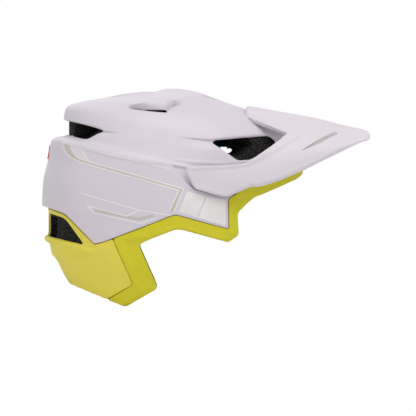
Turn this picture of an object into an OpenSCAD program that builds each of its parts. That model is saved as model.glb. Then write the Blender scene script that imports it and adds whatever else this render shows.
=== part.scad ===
// Open-face trail helmet with a tilting visor. X runs forward, Z up, Y to the wearer's left.
// The origin is the centre of the head opening at brow height.

/* [Shell] */
// Length from the back of the shell to the brow
shell_len = 288; // [276:2:300]
// Width across the shell
shell_w = 217; // [211:1:224]
// Height of the crown above the origin
crown_h = 135.5; // [130:0.5:142]
// Thickness of the outer shell
shell_t = 2.6; // [2:0.1:2.6]
// Thickness of the yellow trim
trim_t = 2.4; // [2:0.1:2.4]

/* [Visor] */
// Reach of the visor ahead of the origin
visor_reach = 226; // [212:1:240]
// Thickness of the visor sheet
visor_t = 2.6; // [2.2:0.1:3]
// Radius of the visor pivot pins
pin_r = 4; // [3:0.1:5]

/* [Fit system] */
// Thickness of the comfort pads
pad_t = 7; // [5:0.5:8]
// Thickness of the slip liner
slip_t = 1.2; // [0.8:0.1:1.4]
// Radius of the adjuster dial
dial_r = 15; // [13:0.5:17]
// Thickness of the occipital cradle
cradle_t = 1.8; // [1.4:0.1:2.2]

/* [Straps] */
// Width of the webbing
web_w = 19; // [15:1:20]
// Thickness of the webbing
web_t = 1.6; // [1.2:0.1:2]

/* [Hidden] */

seg = 44;
kx = shell_len / 288;
ky = shell_w / 217;
kz = crown_h / 135.5;
// Fall of every ring from back to front
fall = 0.2 * kz / kx;
belt = 52;
gap = 0.3;
run = 0.05;

// Each ring: height, back reach, front reach, half width, station of the widest point
shell_rings = [
    [-126, -92, 120, 88, -12],
    [-114, -98, 150, 93, -12],
    [-92, -113, 153, 99, -12],
    [-60, -128, 153, 104.5, -12],
    [-28, -134, 153, 107.5, -12],
    [-21, -135.2, 153, 108, -12],
    [3, -134.2, 153, 108.5, -12],
    [30, -128.4, 153, 107.5, -12],
    [51, -125.2, 153, 105, -12],
    [54.5, -122, 153, 103, -12],
    [61.5, -108.5, 153, 100.5, -10],
    [75, -108.5, 153, 96, -6],
    [77.5, -111.5, 153, 95, -4],
    [90, -109, 150.5, 90, -2],
    [95, -104, 149, 87, 0],
    [100, -93.5, 147, 83.5, 4],
    [109, -69.5, 141, 75, 10],
    [116.7, -47, 131, 64, 18],
    [122.5, -29, 116, 53, 24],
    [127, -13.5, 97, 42, 30],
    [131, 2, 72, 28, 34],
    [133.8, 14, 56, 14, 35],
    [135.5, 28, 44, 4, 36]];

// The trim and the foam sit just inside the shell, and step in below it at the back
trim_rings = [
    [-126, -86, 120, 84, -12],
    [-114, -96, 150, 88, -12],
    [-103.4, -105.5, 152, 93, -12],
    [-92, -113.3, 152, 97, -12],
    [-80, -120, 152, 100, -12],
    [-73, -126, 152, 102, -12],
    [-62, -127.6, 152, 104, -12],
    [-56, -130, 152, 104.8, -12],
    [-50, -128, 152, 105.4, -12],
    [-28, -128, 152, 106.6, -12],
    [-16, -132, 152, 107.2, -12],
    [3, -132, 152.2, 107.6, -12],
    [30, -127, 152.2, 106.6, -12],
    [51, -123.4, 152.2, 104, -12],
    [61.5, -107.6, 152.2, 99.6, -10],
    [77.5, -107.6, 152.2, 94, -4],
    [90, -106, 149.6, 89, -2],
    [100, -92.4, 146, 82.5, 4],
    [109, -68.5, 140, 74, 10],
    [116.7, -46, 130, 63, 18],
    [127, -12.5, 96, 41, 30],
    [132.8, 11, 60.5, 17.5, 34],
    [134.6, 28, 44, 4, 36]];

// Smooth hollow for the head
head_rings = [
    [-132, -78, 96, 72, -10],
    [-116, -86, 98, 74, -10],
    [-90, -93, 99, 78, -10],
    [-60, -100.5, 100, 81, -10],
    [-20, -107.5, 104, 83.5, -8],
    [20, -109, 112, 84, -4],
    [52, -102, 117, 80, 2],
    [66, -92, 115, 73, 6],
    [80, -74, 104, 61, 12],
    [92, -50, 84, 44, 16],
    [100, -24, 60, 26, 20],
    [104, 6, 34, 8, 20]];

function flat(list) = [for (part = list) for (item = part) item];
function power(v, e) = v < 0 ? -pow(-v, e) : pow(v, e);
function column(rings, c) = [for (r = rings) [r[0], r[c]]];
function lift(s, g) = s > belt ? belt + (s - belt) * (1 - g / (crown_h / kz - belt)) : s;
function along(g) = kx * (1 - g / 142);
function across(g) = ky * (1 - g / 108.5);

// Point of a ring at angle a, set inwards by g
function ring_point(r, a, g) =
    let (c = cos(a), s = sin(a))
    let (bend = c < 0 ? 0.87 : 0.95)
    let (x = (r[4] + (c < 0 ? r[4] - r[1] : r[2] - r[4]) * power(c, bend)) * along(g))
    [x, r[3] * power(s, bend) * across(g), lift(r[0], g) * kz - fall * x];

// Half width of a ringed form at station x and height z, set inwards by g
function half_at(rings, x, z, g) =
    let (h = (z + fall * x) / kz)
    let (s = h > belt ? belt + (h - belt) / (1 - g / (crown_h / kz - belt)) : h)
    let (m = lookup(s, column(rings, 4)) * along(g))
    let (end = lookup(s, column(rings, x < m ? 1 : 2)) * along(g))
    let (u = min(1, abs((x - m) / (end - m))))
    let (e = x < m ? 2 / 0.87 : 2 / 0.95)
    lookup(s, column(rings, 3)) * across(g) * pow(1 - pow(u, e), 1 / e);

function ring_grid(rings, g) = [for (r = rings) for (j = [0:seg - 1]) ring_point(r, j * 360 / seg, g)];

// Two triangles for every cell of a closed grid, rows running up from point number b
function grid_faces(rows, b, out) = flat([for (i = [0:rows - 2]) for (j = [0:seg - 1])
    let (k = (j + 1) % seg)
    let (p = b + i * seg + j, q = b + i * seg + k, r = b + (i + 1) * seg + k, t = b + (i + 1) * seg + j)
    out ? [[p, r, q], [p, t, r]] : [[p, q, r], [p, r, t]]]);

function ends(b, rows) = b + (rows - 1) * seg;

// Closed solid bounded by one ringed form
module ringed_solid(rings, g) {
    n = len(rings);
    low = [[for (j = [0:seg - 1]) j]];
    top = [[for (j = [0:seg - 1]) ends(0, n) + seg - 1 - j]];
    polyhedron(ring_grid(rings, g), concat(grid_faces(n, 0, true), low, top));
}

// Wall between two ringed forms, open at the bottom
module wall(outer, g_out, inner, g_in) {
    n = len(outer);
    m = len(inner);
    b = n * seg;
    rim = flat([for (j = [0:seg - 1])
        let (k = (j + 1) % seg)
        [[j, k, b + k], [j, b + k, b + j]]]);
    top = [[for (j = [0:seg - 1]) ends(0, n) + seg - 1 - j]];
    roof = [[for (j = [0:seg - 1]) ends(b, m) + j]];
    polyhedron(concat(ring_grid(outer, g_out), ring_grid(inner, g_in)),
        concat(grid_faces(n, 0, true), grid_faces(m, b, false), rim, top, roof));
}

// Block with a side-view outline drawn in by inset, from y0 to y1
module side_block(outline, y0, y1, inset = 0) {
    translate([0, y1, 0])
        rotate([90, 0, 0])
            linear_extrude(y1 - y0)
                offset(delta = -inset)
                    polygon([for (p = outline) [p[0] * kx, p[1] * kz]]);
}

module plan_block(outline, z0, z1) {
    translate([0, 0, z0])
        linear_extrude(z1 - z0)
            polygon([for (p = outline) [p[0] * kx, p[1] * ky]]);
}

module both_sides() {
    children();
    mirror([0, 1, 0]) children();
}

// Left side as drawn, right side mirrored
module on_side(side) {
    if (side > 0) children();
    if (side < 0) mirror([0, 1, 0]) children();
}

// Reach of the cuts that pass right through the sides
wide = shell_w;

// Lower edge of the shell, back to front, and the rim of the whole helmet, front to back
shell_edge = [[-150, 9.5], [-111.8, -3.7], [-108.2, -5.9], [-77.3, -37.4], [-62.7, -33.2],
    [-16.5, -15.6], [6.8, -6.4], [12.1, -5], [70.2, -20.7], [69.5, 12.3], [94, 28], [126, 39],
    [152, 55], [170, 66]];
trim_edge = [[-56.9, -31.6], [-16.5, -16.1], [6.8, -6.9], [12.1, -5.5], [70.7, -21.3],
    [70, 12], [94.2, 27.5], [126.2, 38.5], [152.2, 54.5], [170, 65.5]];
rim = [[170, 48], [153, 43.7], [151.3, 39.6], [145.9, 34.8], [125.6, 25.7], [98.2, 13.9], [91.1, 7.9],
    [82, -1.1], [80.3, -4.6], [80.3, -10.6], [81.2, -25.5], [79.8, -28.5], [70.2, -34.8],
    [67.8, -34.4], [19.5, -21.3], [12.1, -20.7], [-16.5, -31.7], [-29.4, -38.1], [-9.7, -83.3],
    [-10.2, -87.2], [-42.7, -105.8]];
cover_edge = [[-150, 9], [-111.8, -4.2], [-108.2, -6.5], [-77.3, -38], [-62.7, -33.8], [-57.4, -31.8],
    [-34.9, -81.8], [-63.6, -98.4], [-77, -94], [-105.5, -82.3], [-150, -64]];

front_vent = [[53.2, 74.6], [55.6, 77.4], [112.9, 82.5], [116.6, 81.5], [123.9, 75.2],
    [95.8, 55.7], [81.8, 54.7], [78.1, 56.2]];
slit_vent = [[-25, 108.4], [-21, 110.6], [1.8, 110.4], [1.8, 106.5]];
back_vent = [[-140, 104], [-106.4, 96.8], [-70.2, 88.7], [-68.3, 87.2], [-84.5, 78.3], [-90.3, 78.7],
    [-106.6, 83], [-140, 86]];
low_vent = [[-140, 1], [-125, -4.7], [-112.2, -8.9], [-108.2, -12.5], [-91.5, -35.2], [-92.5, -37.8],
    [-105.3, -35.2], [-124.5, -28.8], [-140, -25]];
top_vent = [[38, 15], [44, 11], [84, 20], [86, 25], [80, 29], [46, 31], [38, 25]];
mid_vent = [[-64, 14], [-58, 10], [-18, 10], [-12, 15], [-16, 26], [-56, 29], [-62, 24]];

module shell_vents() {
    side_block(front_vent, -wide, wide);
    side_block(slit_vent, -wide, wide);
    side_block(back_vent, -wide, wide);
    both_sides() plan_block(top_vent, 90, 160);
    both_sides() plan_block(mid_vent, 90, 160);
}

// Pivot of the visor, on the side of the shell
pivot_x = 38.5 * kx;
pivot_z = 33 * kz;
pivot_y = half_at(shell_rings, pivot_x, pivot_z, 0);
socket_r = pin_r + 3.5;
socket_in = 14;

module across_y(r, y0, y1) {
    translate([pivot_x, y1, pivot_z])
        rotate([90, 0, 0])
            cylinder(h = y1 - y0, r = r, $fn = 48);
}

module outer_shell() {
    color("#ddd6df")
        difference() {
            intersection() {
                wall(shell_rings, 0, shell_rings, shell_t);
                side_block(concat(shell_edge, [[170, 160], [-150, 160]]), -wide, wide);
            }
            shell_vents();
            across_y(socket_r + gap, -wide, wide);
        }
}

module lower_trim() {
    color("#cdc436")
        intersection() {
            wall(trim_rings, 0, trim_rings, trim_t);
            side_block(concat(trim_edge, rim, [[-63.1, -99], [-34.3, -81.8]]), -wide, wide);
        }
}

module rear_cover() {
    color("#d0c458")
        difference() {
            intersection() {
                wall(trim_rings, 0, trim_rings, trim_t);
                side_block(cover_edge, -wide, wide);
            }
            both_sides() side_block(low_vent, 5, wide);
        }
}

foam_g = max(shell_t - 0.6, trim_t) + gap;
foam_back = 1.6;
foam_edge = concat([[-150, 160], [170, 160]], rim, [[-63.1, -98.8], [-77, -93.6], [-105.5, -81.8],
    [-150, -62]]);

// Pocket behind the head for the adjuster, and the recess above it for the height guide
pocket_w = dial_r + 28;
pocket_back = 15.5;
pocket_deep = 60;
pocket_z = [-64, -10];
recess_z = [-11, 33];

// Tunnels through the foam behind the upper and lower back vents
back_tunnel = [[-140, 104], [-106, 96], [-70.2, 88.7], [-84.5, 78.3], [-140, 86]];
low_tunnel = [[-140, -4], [-112, -9], [-96, -26], [-104, -35], [-140, -26]];

// Hollow in the foam behind each slit vent, where the air gathers before it leaves
slit_hollow = [[-44, 111], [-36, 114], [-20, 117], [2, 119.2], [15, 118.2], [15, 106], [1.8, 105.4],
    [-25, 108], [-44, 110]];
hollow_y = 55;

// Tunnel that narrows from the front vent towards the head
tunnel_end = [[61, 64], [52, 71], [52, 76], [72, 78], [76, 68], [68, 64]];

module vent_tunnel() {
    hull() {
        side_block(front_vent, 96, 100);
        side_block(tunnel_end, 44, 46);
    }
}

module foam_liner() {
    color("#1b1a1b")
        difference() {
            intersection() {
                wall(trim_rings, foam_g, head_rings, 0);
                side_block(foam_edge, -wide, wide, foam_back);
            }
            both_sides() vent_tunnel();
            both_sides() side_block(slit_vent, 52, wide);
            both_sides() side_block(slit_hollow, hollow_y, wide);
            both_sides() side_block(back_tunnel, 40, wide);
            both_sides() side_block(low_tunnel, 12, 44);
            both_sides() plan_block(top_vent, 60, 160);
            both_sides() plan_block(mid_vent, 60, 160);
            translate([rack_x - pocket_back, -pocket_w, pocket_z[0] * kz])
                cube([pocket_deep, 2 * pocket_w, (pocket_z[1] - pocket_z[0]) * kz]);
            translate([strip_x - guide_back - gap, -guide_w / 2 - 2, recess_z[0] * kz])
                cube([pocket_deep, guide_w + 4, (recess_z[1] - recess_z[0]) * kz]);
            both_sides() across_y(socket_r + gap, pivot_y - socket_in - 1, wide);
            both_sides() anchor_ears(0.2);
            slip_pegs(peg_r + 0.1);
        }
}

slip_edge = [[-150, 130], [170, 130], [170, 76], [100, 71], [54, 66], [48, 54], [44, 30], [38, 2],
    [-20, -4], [-60, 4], [-150, 30]];
slip_holes = [[-96, 52], [-76, 66], [-40, 52], [-60, 34]];
slip_slots = [[-4, 40], [14, 58], [38, 54], [28, 34]];
slip_windows = [[61, 62.5], [61, 69.5], [68, 69.5], [68, 62.5]];

module slip_liner() {
    color("#0f4a4c")
        difference() {
            intersection() {
                wall(head_rings, gap, head_rings, gap + slip_t);
                side_block(slip_edge, -wide, wide);
            }
            side_block(slip_holes, -wide, wide);
            side_block(slip_slots, -wide, wide);
            side_block(slip_windows, -wide, wide);
            both_sides() plan_block(top_vent, 60, 160);
            both_sides() plan_block(mid_vent, 60, 160);
            translate([-130, -14, -20]) cube([80, 28, 48]);
            slip_pegs(peg_r + gap);
        }
}

peg_r = 2.4;
peg_spots = [[-14, 34], [34, 20]];

// Four short elastomer pegs between the slip liner and the foam
module slip_pegs(r) {
    for (p = peg_spots)
        both_sides() peg_y(p[0] * kx, p[1] * kz, r, slip_t + 3);
}

module peg_y(x, z, r, h) {
    y = half_at(head_rings, x, z, 0);
    translate([x, y + 1, z])
        rotate([90, 0, 0])
            cylinder(h = h, r = r, $fn = 32);
}

module slip_anchors() {
    color("#2b2b2e") slip_pegs(peg_r);
}

// Reflector stuck to the back of the shell
reflector_t = 1.4;
reflector_w = 22;
reflector_edge = [[-150, 71], [-118, 71], [-118, 56], [-150, 56]];

module rear_reflector() {
    color("#cf4a45")
        intersection() {
            wall(shell_rings, -reflector_t - 0.2, shell_rings, -0.2);
            side_block(reflector_edge, -reflector_w / 2, reflector_w / 2);
        }
}

// Visor stations: reach, crown height, edge height, half width, sweep of the corners
visor_w = half_at(shell_rings, pivot_x, pivot_z, 0) / ky + 9;
visor_stations = [
    [14, 119, 8, visor_w, 0],
    [42, 117, 8, visor_w, 0],
    [66, 115, 8, visor_w - 3.5, 0],
    [94, 112.8, 9, visor_w - 8, 0],
    [112, 109.6, 15, visor_w - 11, 0],
    [134, 105.7, 25, visor_w - 14, 0],
    [154, 102.2, 35, visor_w - 17, 0.5],
    [178, 97.3, 49, visor_w - 21, 1.5],
    [204, 91.6, 62, visor_w - 25, 3],
    [220, 88, 71, visor_w - 29, 4.5],
    [226, 85, 75, visor_w - 31, 5]];
arch = [[1, 0], [0.995, 0.14], [0.985, 0.28], [0.95, 0.44], [0.88, 0.58], [0.78, 0.71], [0.66, 0.81],
    [0.53, 0.895], [0.42, 0.945], [0.32, 0.985], [0.16, 0.998]];
arch_span = concat(arch, [[0, 1]], [for (i = [len(arch) - 1:-1:0]) [-arch[i][0], arch[i][1]]]);
stretch = (visor_reach - 94) / (226 - 94);

function visor_x(v) = v > 94 ? (94 + (v - 94) * stretch) * kx : v * kx;
function visor_point(s, a, g) =
    let (x = visor_x(s[0]) - s[4] * a[0] * a[0] * stretch)
    [x, a[0] * (s[3] * ky - g), (s[2] + (s[1] - s[2]) * a[1]) * kz - g * (0.2 + 0.8 * a[1])];

// Arched sheet from depth g0 to depth g1 below the upper face
module visor_sheet(g0, g1) {
    w = len(arch_span);
    n = len(visor_stations);
    outer = [for (s = visor_stations) for (a = arch_span) visor_point(s, a, g0)];
    inner = [for (s = visor_stations) for (a = arch_span) visor_point(s, a, g1)];
    b = len(outer);
    skin = flat([for (i = [0:n - 2]) for (j = [0:w - 2])
        let (p = i * w + j)
        [[p, p + w, p + w + 1], [p, p + w + 1, p + 1],
         [b + p, b + p + w + 1, b + p + w], [b + p, b + p + 1, b + p + w + 1]]]);
    back = flat([for (j = [0:w - 2]) [[j, j + 1, b + j + 1], [j, b + j + 1, b + j]]]);
    last = (n - 1) * w;
    front = flat([for (j = [last:last + w - 2]) [[j, b + j + 1, j + 1], [j, b + j, b + j + 1]]]);
    side_a = flat([for (i = [0:n - 2]) let (p = i * w) [[p, b + p, b + p + w], [p, b + p + w, p + w]]]);
    side_b = flat([for (i = [0:n - 2])
        let (p = i * w + w - 1)
        [[p, b + p + w, b + p], [p, p + w, b + p + w]]]);
    polyhedron(concat(outer, inner), concat(skin, back, front, side_a, side_b));
}

visor_edge = [[88.4, 103.5], [90.5, 118], [240, 118], [240, 87.5], [222, 78.5], [154.7, 44.7], [126.2, 32.3],
    [107.7, 26.4], [99.4, 25.2], [94.6, 25.5], [70.2, 14.6], [64.1, 15], [33.6, 23], [30.1, 27.7],
    [22.9, 42.4], [22.4, 47.3], [67, 49.2], [86.4, 50.6], [97.4, 56.1], [123.5, 75.4], [134.5, 83.6],
    [91.3, 100.4]];
// Blind grooves in the upper face, one at each side
visor_groove = [[148, 64.2], [149.5, 66.2], [183.5, 87.2], [196.4, 84.2], [190.5, 81.5], [181, 77.8]];
groove_deep = 1.6;

module visor() {
    color("#e2dce4")
        difference() {
            intersection() {
                visor_sheet(0, visor_t);
                side_block([for (p = visor_edge) [visor_x(p[0]) / kx, p[1]]], -wide, wide);
            }
            intersection() {
                visor_sheet(-3, groove_deep);
                both_sides() side_block([for (p = visor_groove) [visor_x(p[0]) / kx, p[1]]], 12, wide);
            }
        }
}

// Inner face of the visor arm at the pivot
arm_y = (visor_w * 0.985) * ky - visor_t;

module visor_pin(side) {
    color("#3a3a3d")
        on_side(side) {
            across_y(pin_r, pivot_y - 12, arm_y + 1.2);
        }
}

module visor_washer(side) {
    color("#2b2b2e")
        on_side(side)
            difference() {
                across_y(socket_r, pivot_y + 0.8, arm_y - 0.8);
                across_y(pin_r + gap, 0, wide);
            }
}

module visor_socket(side) {
    color("#8d8f94")
        on_side(side)
            difference() {
                across_y(socket_r, pivot_y - socket_in, pivot_y + 0.4);
                across_y(pin_r + run, pivot_y - socket_in - 1, wide);
            }
}

pad_g = gap + slip_t + gap;

// Comfort pad: a slice of the space inside the slip liner or the foam
module pad(outline, y0, y1, g = pad_g) {
    color("#242426")
        intersection() {
            wall(head_rings, g, head_rings, g + pad_t);
            side_block(outline, y0, y1);
        }
}

module brow_pad() {
    pad([[74, 8], [84, 4], [112, 32], [150, 48], [150, 66], [112, 58], [84, 40], [74, 28]],
        -wide, wide, gap);
}

module crown_pad() {
    pad([[-90, 130], [104, 130], [104, 62], [80, 62], [40, 72], [-40, 78], [-90, 60]], -9, 9);
}

crown_outline = [[-30, 50], [-30, 92], [36, 88], [36, 44], [0, 56]];

module crown_pad_left() {
    pad(crown_outline, 34, wide);
}

module crown_pad_right() {
    pad(crown_outline, -wide, -34);
}

ear_outline = [[-76, -62], [-36, -58], [-24, -78], [-44, -99], [-74, -88]];

module ear_pad_left() {
    pad(ear_outline, 20, wide, gap);
}

module ear_pad_right() {
    pad(ear_outline, -wide, -20, gap);
}

module nape_pad() {
    pad([[-150, 52], [-70, 40], [-70, 58], [-150, 70]], -44, 44);
}

// The height strip slides up and down in a guide fixed behind the slip liner
strip_x = -103 * kx;
strip_w = 12;
strip_t = 1.6;
guide_back = 6;
guide_w = strip_w + 8;

module strip_guide() {
    color("#2f3033")
        difference() {
            translate([strip_x - guide_back, -guide_w / 2, 4 * kz])
                cube([guide_back + 4, guide_w, 14 * kz]);
            translate([strip_x - run, -strip_w / 2 - run, -50])
                cube([strip_t + 2 * run, strip_w + 2 * run, 100]);
        }
}

// The dial turns on an axis along X behind the head, and its pinion drives both belts
dial_z = -38 * kz;
rack_x = -98.8 * kx;
teeth = 10;
drive_r = 5;
pitch = 2 * PI * drive_r / teeth;
shaft_r = 3;
rack_t = 3;
rack_h = 2.8;
tooth_root = drive_r + 1.2;
tooth_tip = drive_r - 0.6;
housing_w = 48;
housing_h = 30;
housing_top = housing_h / 2;

module height_strip() {
    color("#2f3033") {
        translate([strip_x, -strip_w / 2, dial_z + housing_top + 2])
            cube([strip_t, strip_w, 62 * kz - housing_top - 2]);
        translate([strip_x, -strip_w / 2, dial_z + housing_top + gap]) cube([8.4, strip_w, 4]);
    }
}

// The cradle stands inside the belts, and the front of the dial housing follows its curve
cradle_g = 13.8;

module dial_housing() {
    color("#26272a")
        difference() {
            translate([rack_x - 4, -housing_w / 2, dial_z - housing_top])
                cube([20, housing_w, housing_h]);
            ringed_solid(head_rings, cradle_g - 0.1);
            translate([rack_x - 2, 0, dial_z])
                rotate([0, 90, 0])
                    cylinder(h = 4, r = drive_r + 1.4, $fn = 48);
            translate([rack_x - 8, 0, dial_z])
                rotate([0, 90, 0])
                    cylinder(h = 8, r = shaft_r + run, $fn = 48);
            for (z = [drive_r - 1.2, -drive_r - 4.8])
                translate([rack_x - 2, -housing_w, dial_z + z]) cube([4, 2 * housing_w, 6]);
        }
}

// Middle plate behind the head, with two lobes below the belts
module occipital_cradle() {
    color("#2f3033")
        intersection() {
            wall(head_rings, cradle_g, head_rings, cradle_g + cradle_t);
            union() {
                side_block([[-130, -16], [-60, -16], [-60, -56], [-130, -56]], -24, 24);
                side_block([[-130, -52], [-60, -52], [-60, -68], [-130, -66]], -40, 40);
            }
        }
}

knob_t = 8.6;
grips = 18;

module dial_knob() {
    color("#1c1d20")
        difference() {
            translate([rack_x - 13, 0, dial_z])
                rotate([0, 90, 0])
                    cylinder(h = knob_t, r = dial_r, $fn = 64);
            for (i = [1:grips])
                translate([rack_x - 14, 0, dial_z])
                    rotate([i * 360 / grips, 0, 0])
                        translate([0, dial_r, 0])
                            rotate([0, 90, 0])
                                cylinder(h = knob_t + 2.4, r = 1.2, $fn = 12);
        }
}

module dial_pinion() {
    color("#8d8f94")
        translate([rack_x, 0, dial_z])
            rotate([0, 90, 0]) {
                translate([0, 0, -5.4]) cylinder(h = 5, r = shaft_r, $fn = 48);
                translate([0, 0, -rack_t / 2])
                    linear_extrude(rack_t)
                        union() {
                            circle(r = drive_r - 1, $fn = 40);
                            for (i = [1:teeth])
                                rotate(i * 360 / teeth)
                                    polygon([[drive_r - 1.4, -0.8], [drive_r + 0.7, -0.3],
                                        [drive_r + 0.7, 0.3], [drive_r - 1.4, 0.8]]);
                        }
            }
}

// Toothed bar with its pitch line at the height of the pinion's edge, and the band that holds the head
rack_end = 40;
band_g = 6;
band_y = 38;
band_edge = [[-110, -32], [-33, -28], [-33, -40], [-110, -44]];

module belt(side) {
    color("#2f3033") {
        translate([rack_x - rack_t / 2, 0, dial_z])
            scale([1, side, side])
                rotate([90, 0, 90])
                    linear_extrude(rack_t)
                        polygon(concat([[rack_end, tooth_root], [rack_end, tooth_root + rack_h],
                            [-8, tooth_root + rack_h], [-8, tooth_root]],
                            flat([for (i = [-2:4])
                                let (y = (i + 0.5) * pitch)
                                [[y - 0.8, tooth_root], [y - 0.3, tooth_tip],
                                 [y + 0.3, tooth_tip], [y + 0.8, tooth_root]]])));
        translate([rack_x - rack_t / 2, side > 0 ? band_y : -band_y - 3.6, dial_z + (side > 0 ? -3 : -10)])
            cube([15 * kx, 3.6, 13]);
        intersection() {
            wall(head_rings, band_g, head_rings, band_g + 1.6);
            side_block(band_edge, side > 0 ? band_y : -wide, side > 0 ? wide : -band_y);
        }
    }
}

// The webbing hangs from two bars at each side, on ears that are moulded into the foam
strap_x = 9 * kx;
strap_y = 63 * ky;
strap_z = -8;
fold_z = [18, 50.6];
bar_x = [-26 * kx, 44 * kx];
bar_r = 2;
ear = 3;
ring_r = bar_r + 0.4 + web_t;
half_web = web_w / 2;

module anchor_ears(c) {
    for (x = bar_x)
        for (e = [-half_web - ear - 0.4, half_web + 0.4])
            translate([x + e - c, strap_y - ear, strap_z - ear - c])
                cube([ear + 2 * c, half_at(head_rings, x, strap_z, 0) + 6 - strap_y + ear + c,
                    2 * (ear + c)]);
}

module bars(r) {
    for (x = bar_x)
        translate([x - half_web - 2, strap_y, strap_z])
            rotate([0, 90, 0])
                cylinder(h = web_w + 4, r = r, $fn = 32);
}

module strap_anchor(side) {
    color("#3a3a3d")
        on_side(side) {
            anchor_ears(0);
            bars(bar_r);
        }
}

// Two legs meet above the head opening, and the end folds back on itself
strap_legs = [[bar_x[0] - half_web, -8], [bar_x[0] + half_web, -8], [bar_x[0] + half_web, -2],
    [strap_x, 17], [bar_x[1] - half_web, -2], [bar_x[1] - half_web, -8], [bar_x[1] + half_web, -8],
    [bar_x[1] + half_web, -2], [strap_x + half_web, 28], [strap_x + half_web, 52],
    [strap_x - half_web, 52], [strap_x - half_web, 28], [bar_x[0] - half_web, -2]];

module strap(side) {
    color("#1d1d1f")
        on_side(side) {
            difference() {
                for (x = bar_x)
                    translate([x - half_web, strap_y, strap_z])
                        rotate([0, 90, 0])
                            cylinder(h = web_w, r = ring_r, $fn = 32);
                bars(bar_r + run);
            }
            translate([0, strap_y + ring_r - 0.25, 0])
                rotate([90, 0, 0])
                    linear_extrude(web_t)
                        polygon(strap_legs);
            translate([strap_x - half_web, strap_y - 5, fold_z[1]]) cube([web_w, 8.4, web_t]);
            translate([strap_x - half_web, strap_y - 5, fold_z[0]])
                cube([web_w, web_t, fold_z[1] - fold_z[0] + 1]);
        }
}

// Frame around one or both layers of webbing
module loop(side, w, y0, y1, z0, h, slot_y0, slot_y1) {
    on_side(side)
        difference() {
            translate([strap_x - half_web - w, y0, z0]) cube([web_w + 2 * w, y1 - y0, h]);
            translate([strap_x - half_web - 0.7, slot_y0, z0 - 1])
                cube([web_w + 1.4, slot_y1 - slot_y0, h + 2]);
        }
}

module strap_divider(side) {
    color("#2b2b2e")
        loop(side, 3.5, strap_y + 0.6, strap_y + 4.2 + web_t, 30, 9, strap_y + 1.9, strap_y + 2.4 + web_t);
}

module strap_keeper(side) {
    color("#1c1d20")
        loop(side, 1.9, strap_y - 6.5, strap_y + 3.8 + web_t, 42, 5, strap_y - 5.3, strap_y + 2.5 + web_t);
}

buckle_w = web_w + 7;
buckle_t = 8.4;
buckle_y = strap_y - 9.4;
buckle_z = [-4, 26];

module buckle_slot() {
    translate([strap_x - half_web - 0.3, strap_y - 5.3, fold_z[0] - 0.3])
        cube([web_w + 0.6, web_t + 0.6, 9]);
}

module buckle_socket() {
    color("#232427")
        difference() {
            translate([strap_x - buckle_w / 2, buckle_y, buckle_z[0]])
                cube([buckle_w, buckle_t, buckle_z[1] - buckle_z[0]]);
            translate([strap_x - half_web - 0.5, buckle_y + 1.6, buckle_z[0] - 1])
                cube([web_w + 1, 5, 22]);
            buckle_slot();
        }
}

module buckle_plug() {
    color("#232427")
        on_side(-1)
            difference() {
                union() {
                    translate([strap_x - buckle_w / 2, buckle_y, buckle_z[1] - 12])
                        cube([buckle_w, buckle_t, 12]);
                    for (x = [-half_web, half_web - 4])
                        translate([strap_x + x, buckle_y + 1.8, buckle_z[0]])
                            cube([4, buckle_t - 3.8, 19]);
                    translate([strap_x - 1.5, buckle_y + 1.8, buckle_z[0] + 2])
                        cube([3, buckle_t - 3.8, 17]);
                }
                buckle_slot();
            }
}

module chin_pad() {
    color("#242426")
        loop(-1, 2.6, buckle_y, strap_y - 1.6, 27, 13, strap_y - 5.3, strap_y - 4.7 + web_t);
}

outer_shell();
lower_trim();
rear_cover();
foam_liner();
slip_liner();
slip_anchors();
rear_reflector();
visor();
visor_pin(1);  // visor_pin_left
visor_pin(-1);  // visor_pin_right
visor_washer(1);  // visor_washer_left
visor_washer(-1);  // visor_washer_right
visor_socket(1);  // visor_socket_left
visor_socket(-1);  // visor_socket_right
brow_pad();
crown_pad();
crown_pad_left();
crown_pad_right();
ear_pad_left();
ear_pad_right();
nape_pad();
strip_guide();
height_strip();
occipital_cradle();
dial_housing();
dial_knob();
dial_pinion();
belt(1);  // belt_left
belt(-1);  // belt_right
strap_anchor(1);  // strap_anchor_left
strap_anchor(-1);  // strap_anchor_right
strap(1);  // strap_left
strap(-1);  // strap_right
strap_divider(1);  // strap_divider_left
strap_divider(-1);  // strap_divider_right
strap_keeper(1);  // strap_keeper_left
strap_keeper(-1);  // strap_keeper_right
buckle_plug();
buckle_socket();
chin_pad();
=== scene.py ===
import math
import bpy
import bmesh
import numpy as np
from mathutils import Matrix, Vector


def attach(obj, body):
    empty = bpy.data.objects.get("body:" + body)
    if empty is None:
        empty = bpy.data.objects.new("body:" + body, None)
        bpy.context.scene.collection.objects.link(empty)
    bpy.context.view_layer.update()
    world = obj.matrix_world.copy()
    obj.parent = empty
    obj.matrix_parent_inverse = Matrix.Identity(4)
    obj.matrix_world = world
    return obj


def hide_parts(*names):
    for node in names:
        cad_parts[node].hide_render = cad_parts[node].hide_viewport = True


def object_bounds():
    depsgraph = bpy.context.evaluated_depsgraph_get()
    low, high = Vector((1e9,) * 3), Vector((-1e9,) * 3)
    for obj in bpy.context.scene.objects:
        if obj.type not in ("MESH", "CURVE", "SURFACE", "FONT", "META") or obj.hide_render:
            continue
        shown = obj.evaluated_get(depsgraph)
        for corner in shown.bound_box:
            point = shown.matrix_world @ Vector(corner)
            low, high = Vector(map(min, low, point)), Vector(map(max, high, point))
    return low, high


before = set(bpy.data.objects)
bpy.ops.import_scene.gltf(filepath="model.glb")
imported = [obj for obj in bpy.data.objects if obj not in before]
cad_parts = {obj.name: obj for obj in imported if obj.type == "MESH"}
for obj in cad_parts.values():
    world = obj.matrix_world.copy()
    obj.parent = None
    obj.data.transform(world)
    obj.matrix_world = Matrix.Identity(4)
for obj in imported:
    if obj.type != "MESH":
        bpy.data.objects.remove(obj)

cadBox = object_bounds()
mm = 0.001
sideAxes, planAxes, rearAxes = (0, 2), (0, 1), (1, 2)
print("frame loaded")


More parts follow.
